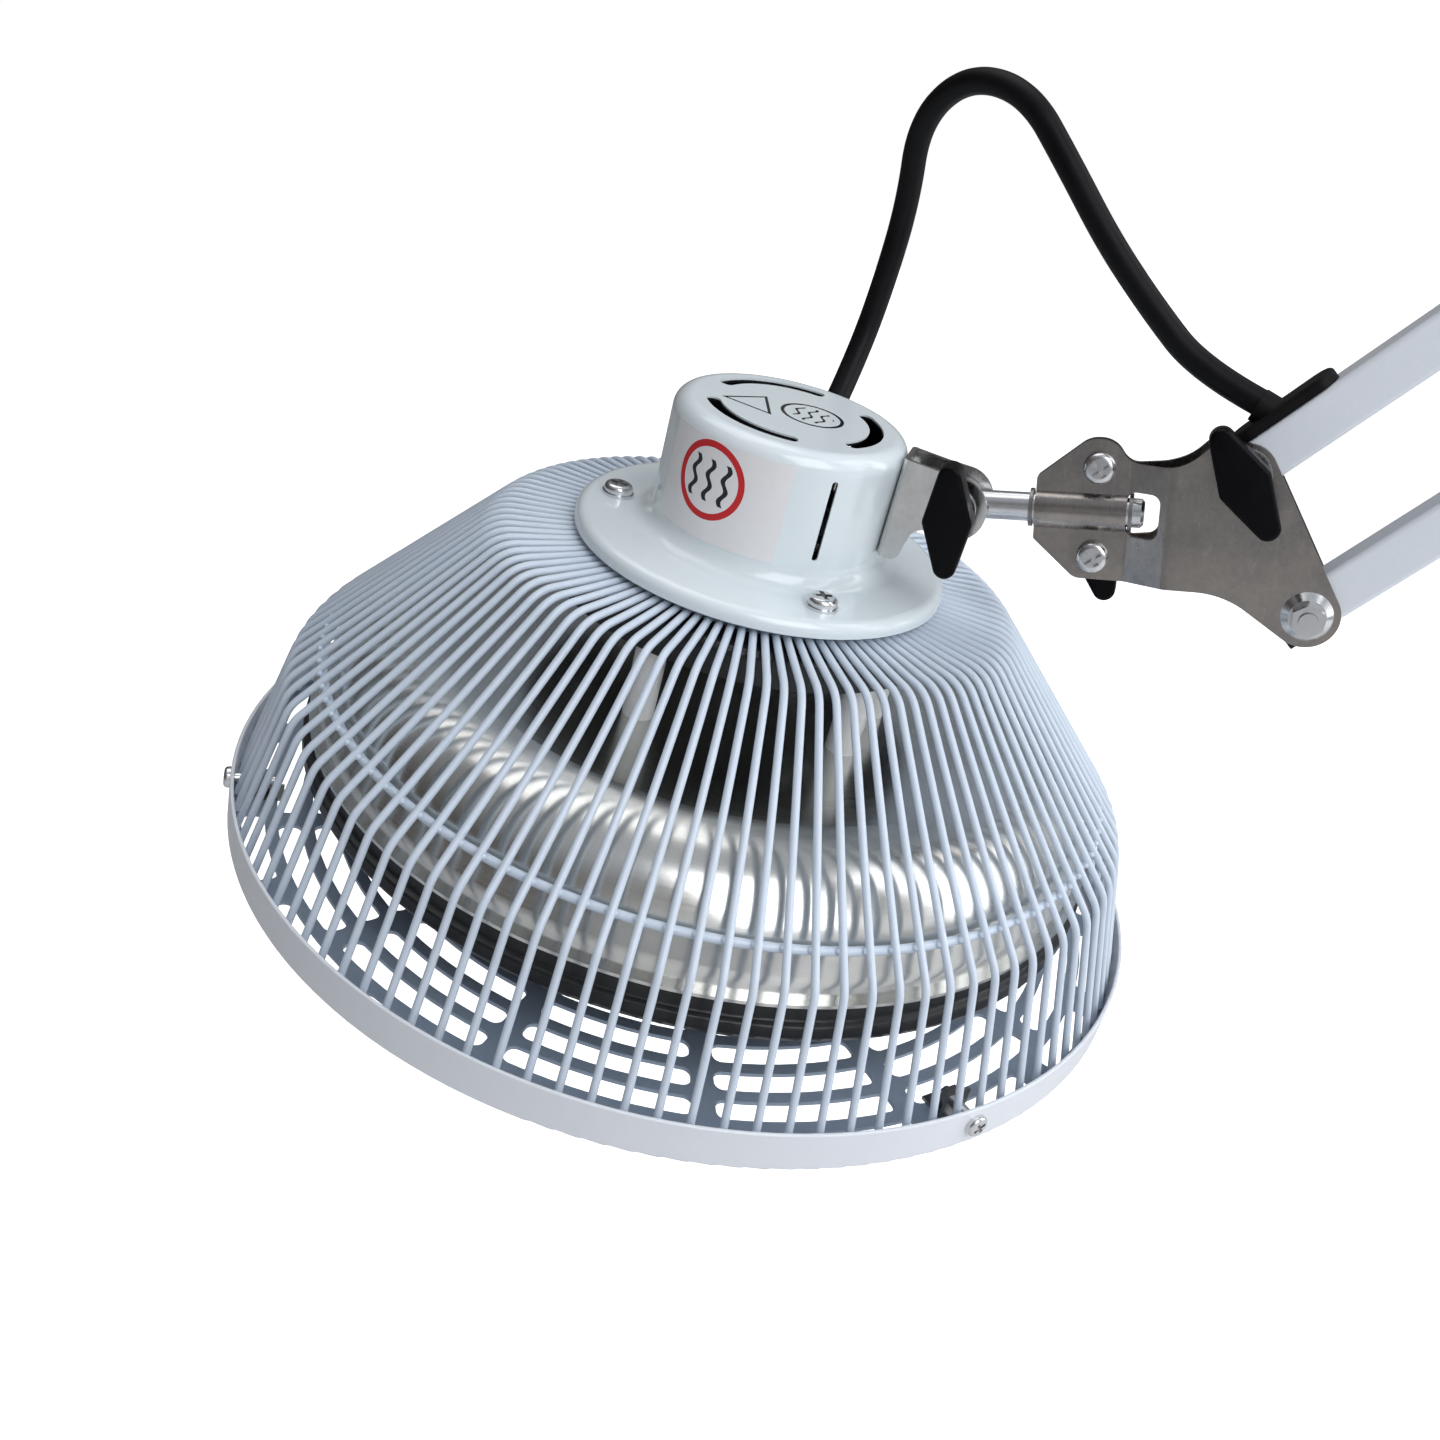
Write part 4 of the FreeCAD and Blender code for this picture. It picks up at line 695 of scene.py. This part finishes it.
class Bench:
    """Modelling tools: what they make sits at the origin, with its place in its mesh."""

    @staticmethod
    def clear() -> None:
        """Leaves edit mode and deselects everything."""
        if bpy.context.object is not None and bpy.context.object.mode != "OBJECT":
            bpy.ops.object.mode_set(mode="OBJECT")
        bpy.ops.object.select_all(action="DESELECT")

    @classmethod
    def pick(cls, *objects: bpy.types.Object) -> None:
        """Selects only these objects; the first is active."""
        cls.clear()
        for one in objects:
            one.select_set(True)
        bpy.context.view_layer.objects.active = objects[0]

    @classmethod
    def stack(cls, name: str, steps: Sequence[Tuple[float, float]], sides: int = 32) -> bpy.types.Object:
        """A round closed piece, drawn up from a disc by extruding and scaling its rim.

        Args:
            name: The piece's name.
            steps: Radius and height of each ring, in metres, from the first disc to the last.
            sides: How many sides the rings have.

        Returns:
            The new object, along Z.
        """
        cls.clear()
        radius, height = steps[0]
        bpy.ops.mesh.primitive_circle_add(vertices=sides, radius=radius, fill_type="NGON",
                                          location=(0.0, 0.0, height))
        piece = bpy.context.object
        piece.name = name
        bpy.ops.object.transform_apply(location=True, rotation=True, scale=True)
        bpy.ops.object.mode_set(mode="EDIT")
        bpy.ops.mesh.select_all(action="SELECT")
        for next_radius, next_height in steps[1:]:
            bpy.ops.mesh.extrude_region_move(
                TRANSFORM_OT_translate={"value": (0.0, 0.0, next_height - height)})
            factor = next_radius / radius
            bpy.ops.transform.resize(value=(factor, factor, 1.0), center_override=(0.0, 0.0, next_height))
            radius, height = next_radius, next_height
        bpy.ops.mesh.select_all(action="SELECT")
        bpy.ops.mesh.normals_make_consistent(inside=False)
        bpy.ops.object.mode_set(mode="OBJECT")
        return piece

    @classmethod
    def bevel(cls, piece: bpy.types.Object, width: float, segments: int = 2, angle: float = 40.0) -> None:
        """Rounds a piece's sharp edges with an applied modifier."""
        cls.pick(piece)
        modifier = piece.modifiers.new("soft_edges", "BEVEL")
        modifier.width = width
        modifier.segments = segments
        modifier.limit_method = "ANGLE"
        modifier.angle_limit = math.radians(angle)
        bpy.ops.object.modifier_apply(modifier=modifier.name)

    @classmethod
    def face_out(cls, piece: bpy.types.Object) -> None:
        """Turns all of a piece's faces outward."""
        cls.pick(piece)
        bpy.ops.object.mode_set(mode="EDIT")
        bpy.ops.mesh.select_all(action="SELECT")
        bpy.ops.mesh.normals_make_consistent(inside=False)
        bpy.ops.object.mode_set(mode="OBJECT")

    @classmethod
    def join(cls, name: str, *objects: bpy.types.Object) -> bpy.types.Object:
        """Joins objects into one piece."""
        cls.pick(*objects)
        bpy.ops.object.join()
        objects[0].name = name
        return objects[0]

    @classmethod
    def copy(cls, piece: bpy.types.Object, name: str, place: Matrix) -> bpy.types.Object:
        """A copy with its own mesh, moved by a placement."""
        twin = piece.copy()
        twin.data = piece.data.copy()
        twin.name = name
        bpy.context.collection.objects.link(twin)
        twin.data.transform(place)
        return twin

    @classmethod
    def place(cls, piece: bpy.types.Object, place: Matrix) -> None:
        """Moves a piece to its place, within its mesh, and shades it smooth."""
        cls.pick(piece)
        piece.matrix_world = place @ piece.matrix_world
        bpy.ops.object.transform_apply(location=True, rotation=True, scale=True)
        bpy.ops.object.shade_smooth_by_angle(angle=math.radians(35.0))

    @classmethod
    def dress(cls, piece: bpy.types.Object, material: bpy.types.Material, slot: str,
              body: Optional[str] = None, instead_of: Sequence[str] = ()) -> None:
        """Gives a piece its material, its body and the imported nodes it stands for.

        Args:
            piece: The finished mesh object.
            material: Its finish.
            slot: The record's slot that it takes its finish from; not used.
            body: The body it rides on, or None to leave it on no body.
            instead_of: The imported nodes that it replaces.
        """
        piece.data.materials.clear()
        piece.data.materials.append(material)
        if body is not None:
            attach(piece, body)
        if instead_of:
            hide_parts(*instead_of)
        LOG.info("made %s: %d faces", piece.name, len(piece.data.polygons))


# ==== sub-assemblies ====


@dataclass
class Cord:
    """The flexible lead from the gland over to the arm, in three stretches that meet at the joints."""

    finishes: Finishes
    diameter: float = 0.0072
    gland_exit: Point = (-45.217, 41.532, 21.096)
    gland_run: Point = (-40.73, 51.61, 34.94)
    route: Tuple[Point, ...] = (
        (-33.7, 53.5, 56.3), (-26.9, 50.6, 79.2), (-23.0, 43.0, 102.1), (-7.9, 30.6, 113.1),
        (10.3, 18.7, 108.1), (23.0, 13.7, 89.2), (35.0, 9.3, 70.3), (48.1, 6.0, 53.6), (61.3, 2.7, 38.9))
    grommet_end: Point = (77.3, 0.34, 31.1)
    breaks: Tuple[float, float] = (0.41, 0.70)
    sides: int = 28

    def route_curve(self) -> bpy.types.Object:
        """The cord's route as one smooth NURBS curve."""
        data = bpy.data.curves.new("cord_route", "CURVE")
        data.dimensions = "3D"
        data.resolution_u = 24
        spline = data.splines.new("NURBS")
        points = [self.gland_exit, self.gland_run, *self.route, self.grommet_end]
        spline.points.add(len(points) - 1)
        for target, point in zip(spline.points, points):
            target.co = (*((TILT_PIVOT + Vector(point)) * MM), 1.0)
        spline.order_u = 3
        spline.use_endpoint_u = True
        curve = bpy.data.objects.new("cord_route", data)
        bpy.context.collection.objects.link(curve)
        return curve

    def centre_line(self) -> List[Vector]:
        """Points along the route, read from its curve."""
        curve = self.route_curve()
        bpy.context.view_layer.update()
        mesh = bpy.data.meshes.new_from_object(curve)
        line = [vertex.co.copy() for vertex in mesh.vertices]
        bpy.data.objects.remove(curve)
        bpy.data.meshes.remove(mesh)
        return line

    def tube(self, name: str, line: Sequence[Vector], start_length: float, up: Vector
             ) -> Tuple[bpy.types.Object, Vector]:
        """A round tube along a line, with its UV map along its length.

        Args:
            name: The piece's name.
            line: The points of its centre line, in metres.
            start_length: How much of the cord comes before it, for the UV map.
            up: The side direction that the tube starts with.

        Returns:
            The tube and the side direction that it ends with.
        """
        radius = self.diameter / 2
        vertices: List[Vector] = []
        lengths = [start_length]
        for a, b in zip(line, line[1:]):
            lengths.append(lengths[-1] + (b - a).length)
        for index, point in enumerate(line):
            ahead = line[min(index + 1, len(line) - 1)] - line[max(index - 1, 0)]
            ahead.normalize()
            up = (up - ahead * up.dot(ahead)).normalized()
            side = ahead.cross(up)
            for k in range(self.sides):
                turn = 2 * math.pi * k / self.sides
                vertices.append(point + (up * math.cos(turn) + side * math.sin(turn)) * radius)
        faces: List[List[int]] = []
        for row in range(len(line) - 1):
            for k in range(self.sides):
                a, b = row * self.sides + k, row * self.sides + (k + 1) % self.sides
                faces.append([a, b, b + self.sides, a + self.sides])
        faces.append(list(range(self.sides))[::-1])
        faces.append([len(vertices) - self.sides + k for k in range(self.sides)])
        mesh = bpy.data.meshes.new(name)
        mesh.from_pydata([tuple(v) for v in vertices], [], faces)
        layer = mesh.uv_layers.new(name="length")
        for face in mesh.polygons:
            for loop in face.loop_indices:
                index = mesh.loops[loop].vertex_index
                layer.data[loop].uv = ((index % self.sides) / self.sides, lengths[index // self.sides] * 20.0)
        piece = bpy.data.objects.new(name, mesh)
        bpy.context.collection.objects.link(piece)
        Bench.face_out(piece)
        bpy.ops.object.shade_smooth_by_angle(angle=math.radians(50.0))
        return piece, up

    def build(self) -> None:
        line = self.centre_line()
        total = sum((b - a).length for a, b in zip(line, line[1:]))
        cuts = [0]
        run = 0.0
        for index, (a, b) in enumerate(zip(line, line[1:])):
            run += (b - a).length
            if len(cuts) <= len(self.breaks) and run >= self.breaks[len(cuts) - 1] * total:
                cuts.append(index + 1)
        cuts.append(len(line) - 1)
        names = ("cord_to_head", "cord_over_stem", "cord_to_arm")
        nodes = ("cord_head_end", "cord_middle", "cord_arm_end")
        joints = (("lamp_head", "stem_body"), ("stem_body", "front_bracket"), ("front_bracket", "upper_arm"))
        up, done = Vector((0.0, 1.0, 0.0)), 0.0
        for name, node, (a, b), first, last in zip(names, nodes, joints, cuts, cuts[1:]):
            stretch = line[first:last + 1]
            length = sum((q - p).length for p, q in zip(stretch, stretch[1:]))
            piece, up = self.tube(name, stretch, done, up)
            done += length
            Bench.dress(piece, self.finishes.jacket, "black_rubber", None, (node,))
            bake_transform(piece)


@dataclass
class WingKnob:
    """A black diamond knob: a bevelled wing on a tapered hub."""

    tip_centre: float = 0.0127
    tip_radius: float = 0.0032
    side_centre: float = 0.0043
    side_radius: float = 0.0025
    thickness: float = 0.008
    hub_height: float = 0.005
    hub_radius: float = 0.0056

    def model(self) -> bpy.types.Object:
        """Models the knob in its own frame: hub on the origin, wing out along Z, long along Y."""
        corners: List[bpy.types.Object] = []
        tip, side = self.tip_centre, self.side_centre
        for x, y, radius in ((0.0, tip, self.tip_radius), (0.0, -tip, self.tip_radius),
                             (side, 0.0, self.side_radius), (-side, 0.0, self.side_radius)):
            Bench.clear()
            bpy.ops.mesh.primitive_cylinder_add(
                vertices=48, radius=radius, depth=self.thickness,
                location=(x, y, self.hub_height + self.thickness / 2))
            corners.append(bpy.context.object)
        wing = Bench.join("wing", *corners)
        Bench.pick(wing)
        bpy.ops.object.mode_set(mode="EDIT")
        bpy.ops.mesh.select_all(action="SELECT")
        bpy.ops.mesh.convex_hull()
        bpy.ops.mesh.dissolve_limited(angle_limit=math.radians(0.5))
        bpy.ops.mesh.select_all(action="SELECT")
        bpy.ops.mesh.normals_make_consistent(inside=False)
        bpy.ops.object.mode_set(mode="OBJECT")
        Bench.bevel(wing, 0.0010, 4)
        foot, top = self.hub_radius * 1.04, self.hub_radius * 0.97
        hub = Bench.stack("hub", [(foot, 0.0), (foot, 0.0008), (self.hub_radius, 0.0012),
                                  (top, self.hub_height + 0.001)], 40)
        Bench.bevel(hub, 0.0003, 2)
        return Bench.join("wing_knob", wing, hub)


@dataclass
class Knobs:
    """The four knobs, copied from one model."""

    finishes: Finishes
    knob: WingKnob = field(default_factory=WingKnob)

    def places(self) -> List[Tuple[str, str, Matrix]]:
        """The node, the body and the placement of each knob."""
        turn = HEAD.to_3x3()
        y = turn @ Vector((0.0, 1.0, 0.0))
        z = turn @ Vector((-0.24, 0.0, 0.97))
        front = Vector((0.0, -1.0, 0.0))
        pivot = TILT_PIVOT * MM
        return [
            ("tilt_knob", "tilt_knob_body", axis_place(pivot - y * 0.008, -y, z)),
            ("arm_lock_knob", "arm_knob",
             axis_place(UPPER_PIVOT * MM + front * 0.01005, front, Vector((0.53, 0.0, -0.85)))),
            ("stem_clamp_knob", "stem_knob",
             axis_place(pivot + Vector((0.0383, 0.0032, -0.0123)), -front, Vector((0.28, 0.0, -1.0)))),
            ("swivel_lock_knob", "swivel_knob",
             axis_place(Vector((0.0143, -0.0032, 0.018)), front, Vector((0.5, 0.0, 1.0)))),
        ]

    def build(self) -> None:
        """Copies the knob to its places."""
        model = self.knob.model()
        for node, body, place in self.places():
            piece = Bench.copy(model, node + "_grip", Matrix.Identity(4))
            Bench.place(piece, place)
            Bench.dress(piece, self.finishes.by_slot["black_knob"], "black_knob", body, (node,))
        bpy.data.objects.remove(model)


@dataclass
class StrainRelief:
    """The ribbed rubber boot where the cord leaves the cap."""

    finishes: Finishes
    wall_radius: float = 0.0345
    azimuth: float = math.radians(85.0)
    height: float = 0.132
    rise: float = math.radians(50.0)
    length: float = 0.014
    foot_radius: float = 0.0078
    tip_radius: float = 0.0050
    ribs: int = 5

    def build(self) -> None:
        """Models the boot along its own axis and sets it in the cap's wall."""
        steps: List[Tuple[float, float]] = [(0.0071, -0.0105), (0.0071, -0.0030), (self.foot_radius, -0.0020)]
        pitch = (self.length - 0.002) / self.ribs
        for k in range(self.ribs):
            radius = self.foot_radius + (self.tip_radius - self.foot_radius) * k / self.ribs
            low = 0.001 + pitch * k
            steps += [(radius, low), (radius, low + pitch * 0.55), (radius - 0.0008, low + pitch * 0.62),
                      (radius - 0.0008, low + pitch * 0.95)]
        steps += [(self.tip_radius, self.length - 0.0006), (self.tip_radius - 0.0004, self.length)]
        boot = Bench.stack("cord_boot", steps, 40)
        Bench.bevel(boot, 0.00018, 2, 30.0)
        outward = Vector((math.cos(self.azimuth), math.sin(self.azimuth), 0.0))
        foot = outward * self.wall_radius + Vector((0.0, 0.0, self.height))
        axis = outward * math.cos(self.rise) + Vector((0.0, 0.0, math.sin(self.rise)))
        Bench.place(boot, HEAD @ axis_place(foot, axis, Vector((0.0, 0.0, 1.0))))
        Bench.dress(boot, self.finishes.by_slot["black_rubber"], "black_rubber", "lamp_head", ("cord_gland",))


@dataclass
class HeatLabel:
    """The foil label that wraps round the front of the cap."""

    finishes: Finishes
    radius: float = 0.03452
    thickness: float = 0.00012
    start: float = math.radians(-141.0)
    end: float = math.radians(-72.5)
    low: float = 0.1160
    high: float = 0.1446
    columns: int = 48

    def build(self) -> None:
        """Bends a fine grid round the cap and gives it a thickness and a UV map in millimetres."""
        Bench.clear()
        bpy.ops.mesh.primitive_grid_add(x_subdivisions=self.columns, y_subdivisions=12, size=1.0)
        label = bpy.context.object
        label.name = "heat_label"
        layer = label.data.uv_layers.new(name="label")
        width = (self.end - self.start) * self.radius * 1000.0
        tall = (self.high - self.low) * 1000.0
        flat = [vertex.co.copy() for vertex in label.data.vertices]
        for face in label.data.polygons:
            for loop in face.loop_indices:
                at = flat[label.data.loops[loop].vertex_index]
                layer.data[loop].uv = ((at.x + 0.5) * width, (at.y + 0.5) * tall)
        for vertex, at in zip(label.data.vertices, flat):
            turn = self.start + (at.x + 0.5) * (self.end - self.start)
            vertex.co = (self.radius * math.cos(turn), self.radius * math.sin(turn),
                         self.low + (at.y + 0.5) * (self.high - self.low))
        Bench.face_out(label)
        shell = label.modifiers.new("foil", "SOLIDIFY")
        shell.thickness = self.thickness
        shell.offset = 1.0 if label.data.polygons[0].normal.dot(label.data.polygons[0].center) > 0 else -1.0
        bpy.ops.object.modifier_apply(modifier=shell.name)
        Bench.place(label, HEAD)
        Bench.dress(label, self.finishes.label, "white_cap", "lamp_head")


@dataclass
class WeldSpots:
    """The flattened weld nuggets where the guard's wires cross the inner ring."""

    finishes: Finishes
    count: int = 105
    first: float = math.radians(-92.3)
    radius: float = 0.1229
    height: float = 0.0534
    lean: float = math.radians(46.0)
    size: float = 0.0016

    def build(self) -> None:
        """Models one nugget, copies it round the ring and joins the copies."""
        Bench.clear()
        bpy.ops.mesh.primitive_ico_sphere_add(subdivisions=2, radius=self.size)
        nugget = bpy.context.object
        nugget.scale = (0.75, 1.15, 0.8)
        bpy.ops.object.transform_apply(location=True, rotation=True, scale=True)
        out = Matrix.Translation((self.radius, 0.0, self.height))
        lean = out @ Matrix.Rotation(self.lean, 4, "Y")
        turns = [Matrix.Rotation(self.first + 2 * math.pi * k / self.count, 4, "Z")
                 for k in range(self.count)]
        spots = [Bench.copy(nugget, "weld", turn @ lean) for turn in turns]
        bpy.data.objects.remove(nugget)
        welds = Bench.join("guard_welds", *spots)
        Bench.place(welds, HEAD)
        Bench.dress(welds, self.finishes.by_slot["white_guard"], "white_guard", "lamp_head")


# ==== studio ====


@dataclass
class Studio:
    """Floor, lights, surroundings and camera."""

    floor_z: float = -0.62
    lens: float = 37.5
    offset: Point = (58.4, -421.3, 87.3)
    right: Point = (0.9563, 0.2924, 0.0)
    up: Point = (-0.1000, 0.3271, 0.9397)
    forward: Point = (-0.2747, 0.8986, -0.3420)

    def floor(self) -> None:
        """A large pale floor under the lamp."""
        Bench.clear()
        bpy.ops.mesh.primitive_grid_add(x_subdivisions=4, y_subdivisions=4, size=14.0,
                                        location=(TILT_PIVOT.x * MM, 1.0, self.floor_z))
        ground = bpy.context.object
        ground.name = "floor"
        ground.data.materials.append(Floor().make())

    def light(self, name: str, at: Point, aim: Point, size: Tuple[float, float], power: float,
              colour: Colour = (1.0, 1.0, 1.0)) -> None:
        """A soft rectangular light.

        Args:
            name: The light's name.
            at: Where it stands, in metres from the tilt pivot.
            aim: What it points at, in metres from the tilt pivot.
            size: Its width and height in metres.
            power: Its power in watts.
            colour: Its tint.
        """
        data = bpy.data.lights.new(name, "AREA")
        data.shape = "RECTANGLE"
        data.size, data.size_y = size
        data.energy = power
        data.color = colour
        lamp = bpy.data.objects.new(name, data)
        pivot = TILT_PIVOT * MM
        lamp.location = pivot + Vector(at)
        lamp.rotation_euler = (Vector(aim) - Vector(at)).to_track_quat("-Z", "Y").to_euler()
        bpy.context.collection.objects.link(lamp)

    def surroundings(self) -> None:
        """A soft room: bright above and below, darker round the horizon, plain where it is seen direct."""
        world = bpy.data.worlds.new("studio")
        world.use_nodes = True
        bpy.context.scene.world = world
        graph = Graph(world.node_tree)
        background = world.node_tree.nodes["Background"]
        out = world.node_tree.nodes["World Output"]
        direction = graph.node("ShaderNodeTexCoord").outputs["Generated"]
        x, y, z = graph.split(direction)
        height = graph.node("ShaderNodeValToRGB")
        graph.feed(height.inputs["Fac"], graph.remap(z, -1.0, 1.0))
        self.stops(height, [(0.0, (1.10, 1.11, 1.13)), (0.40, (0.95, 0.96, 0.98)), (0.50, (0.16, 0.15, 0.14)),
                            (0.70, (0.20, 0.19, 0.18)), (0.86, (0.50, 0.53, 0.58)),
                            (1.0, (0.62, 0.64, 0.68))])
        side = graph.node("ShaderNodeValToRGB")
        across = graph.math("ADD", graph.math("MULTIPLY", x, 0.87),
                            graph.math("MULTIPLY", y, -0.20))
        graph.feed(side.inputs["Fac"], graph.remap(across, -1.0, 1.0))
        self.stops(side, [(0.0, (0.10, 0.09, 0.08)), (0.50, (0.22, 0.21, 0.20)), (0.66, (0.70, 0.72, 0.76)),
                          (1.0, (1.10, 1.12, 1.16))])
        horizon = graph.remap(graph.math("ABSOLUTE", z), 0.55, 0.15)
        tint = graph.mix(graph.remap(across, -0.75, 0.15), (0.34, 0.31, 0.29), (1.0, 1.0, 1.0))
        shaded = graph.vector_math("MULTIPLY", height.outputs["Color"], tint).outputs[0]
        graph.feed(background.inputs["Color"], graph.mix(horizon, shaded, side.outputs["Color"]))
        background.inputs["Strength"].default_value = 0.76
        seen = graph.node("ShaderNodeBackground")
        seen.inputs["Color"].default_value = (1.0, 1.0, 1.0, 1.0)
        seen.inputs["Strength"].default_value = 1.0
        choose = graph.node("ShaderNodeMixShader")
        graph.feed(choose.inputs["Fac"], graph.node("ShaderNodeLightPath").outputs["Is Camera Ray"])
        graph.feed(choose.inputs[1], background.outputs[0])
        graph.feed(choose.inputs[2], seen.outputs[0])
        graph.feed(out.inputs["Surface"], choose.outputs[0])

    @staticmethod
    def stops(ramp: bpy.types.Node, stops: Sequence[Tuple[float, Colour]]) -> None:
        """Sets a colour ramp's stops."""
        entries = ramp.color_ramp.elements
        while len(entries) < len(stops):
            entries.new(0.5)
        for entry, (where, colour) in zip(entries, stops):
            entry.position = where
            entry.color = (*colour, 1.0)

    def camera(self) -> None:
        """The camera, near the head and a little above it."""
        data = bpy.data.cameras.new("camera")
        data.lens = self.lens
        data.sensor_width = 36.0
        data.clip_start, data.clip_end = 0.01, 60.0
        eye = bpy.data.objects.new("camera", data)
        turn = Matrix((Vector(self.right), Vector(self.up), -Vector(self.forward))).transposed()
        eye.matrix_world = Matrix.Translation((TILT_PIVOT + Vector(self.offset)) * MM) @ turn.to_4x4()
        bpy.context.collection.objects.link(eye)
        bpy.context.scene.camera = eye

    def build(self) -> None:
        """Sets up everything that isn't the lamp."""
        self.floor()
        self.surroundings()
        self.light("key_window", (0.9, -0.9, 0.7), (-0.05, 0.0, -0.05), (0.9, 1.2), 10.0, (0.97, 0.98, 1.0))
        self.light("side_window", (1.1, 0.3, 0.4), (0.0, 0.0, -0.05), (0.8, 1.3), 6.5, (0.95, 0.97, 1.0))
        self.light("top_panel", (-0.2, 0.2, 1.4), (-0.05, 0.0, 0.0), (1.2, 1.0), 5.0)
        bpy.context.scene.view_settings.view_transform = "Standard"
        self.camera()


def main() -> None:
    """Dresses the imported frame, makes the new pieces and sets up the studio."""
    logging.basicConfig(level=logging.INFO, format="%(name)s: %(message)s")
    finishes = Finishes()
    finishes.dress_frame()
    studio = Studio()
    studio.build()
    Cord(finishes).build()
    Knobs(finishes).build()
    StrainRelief(finishes).build()
    HeatLabel(finishes).build()
    WeldSpots(finishes).build()


if __name__ == "__main__":
    main()
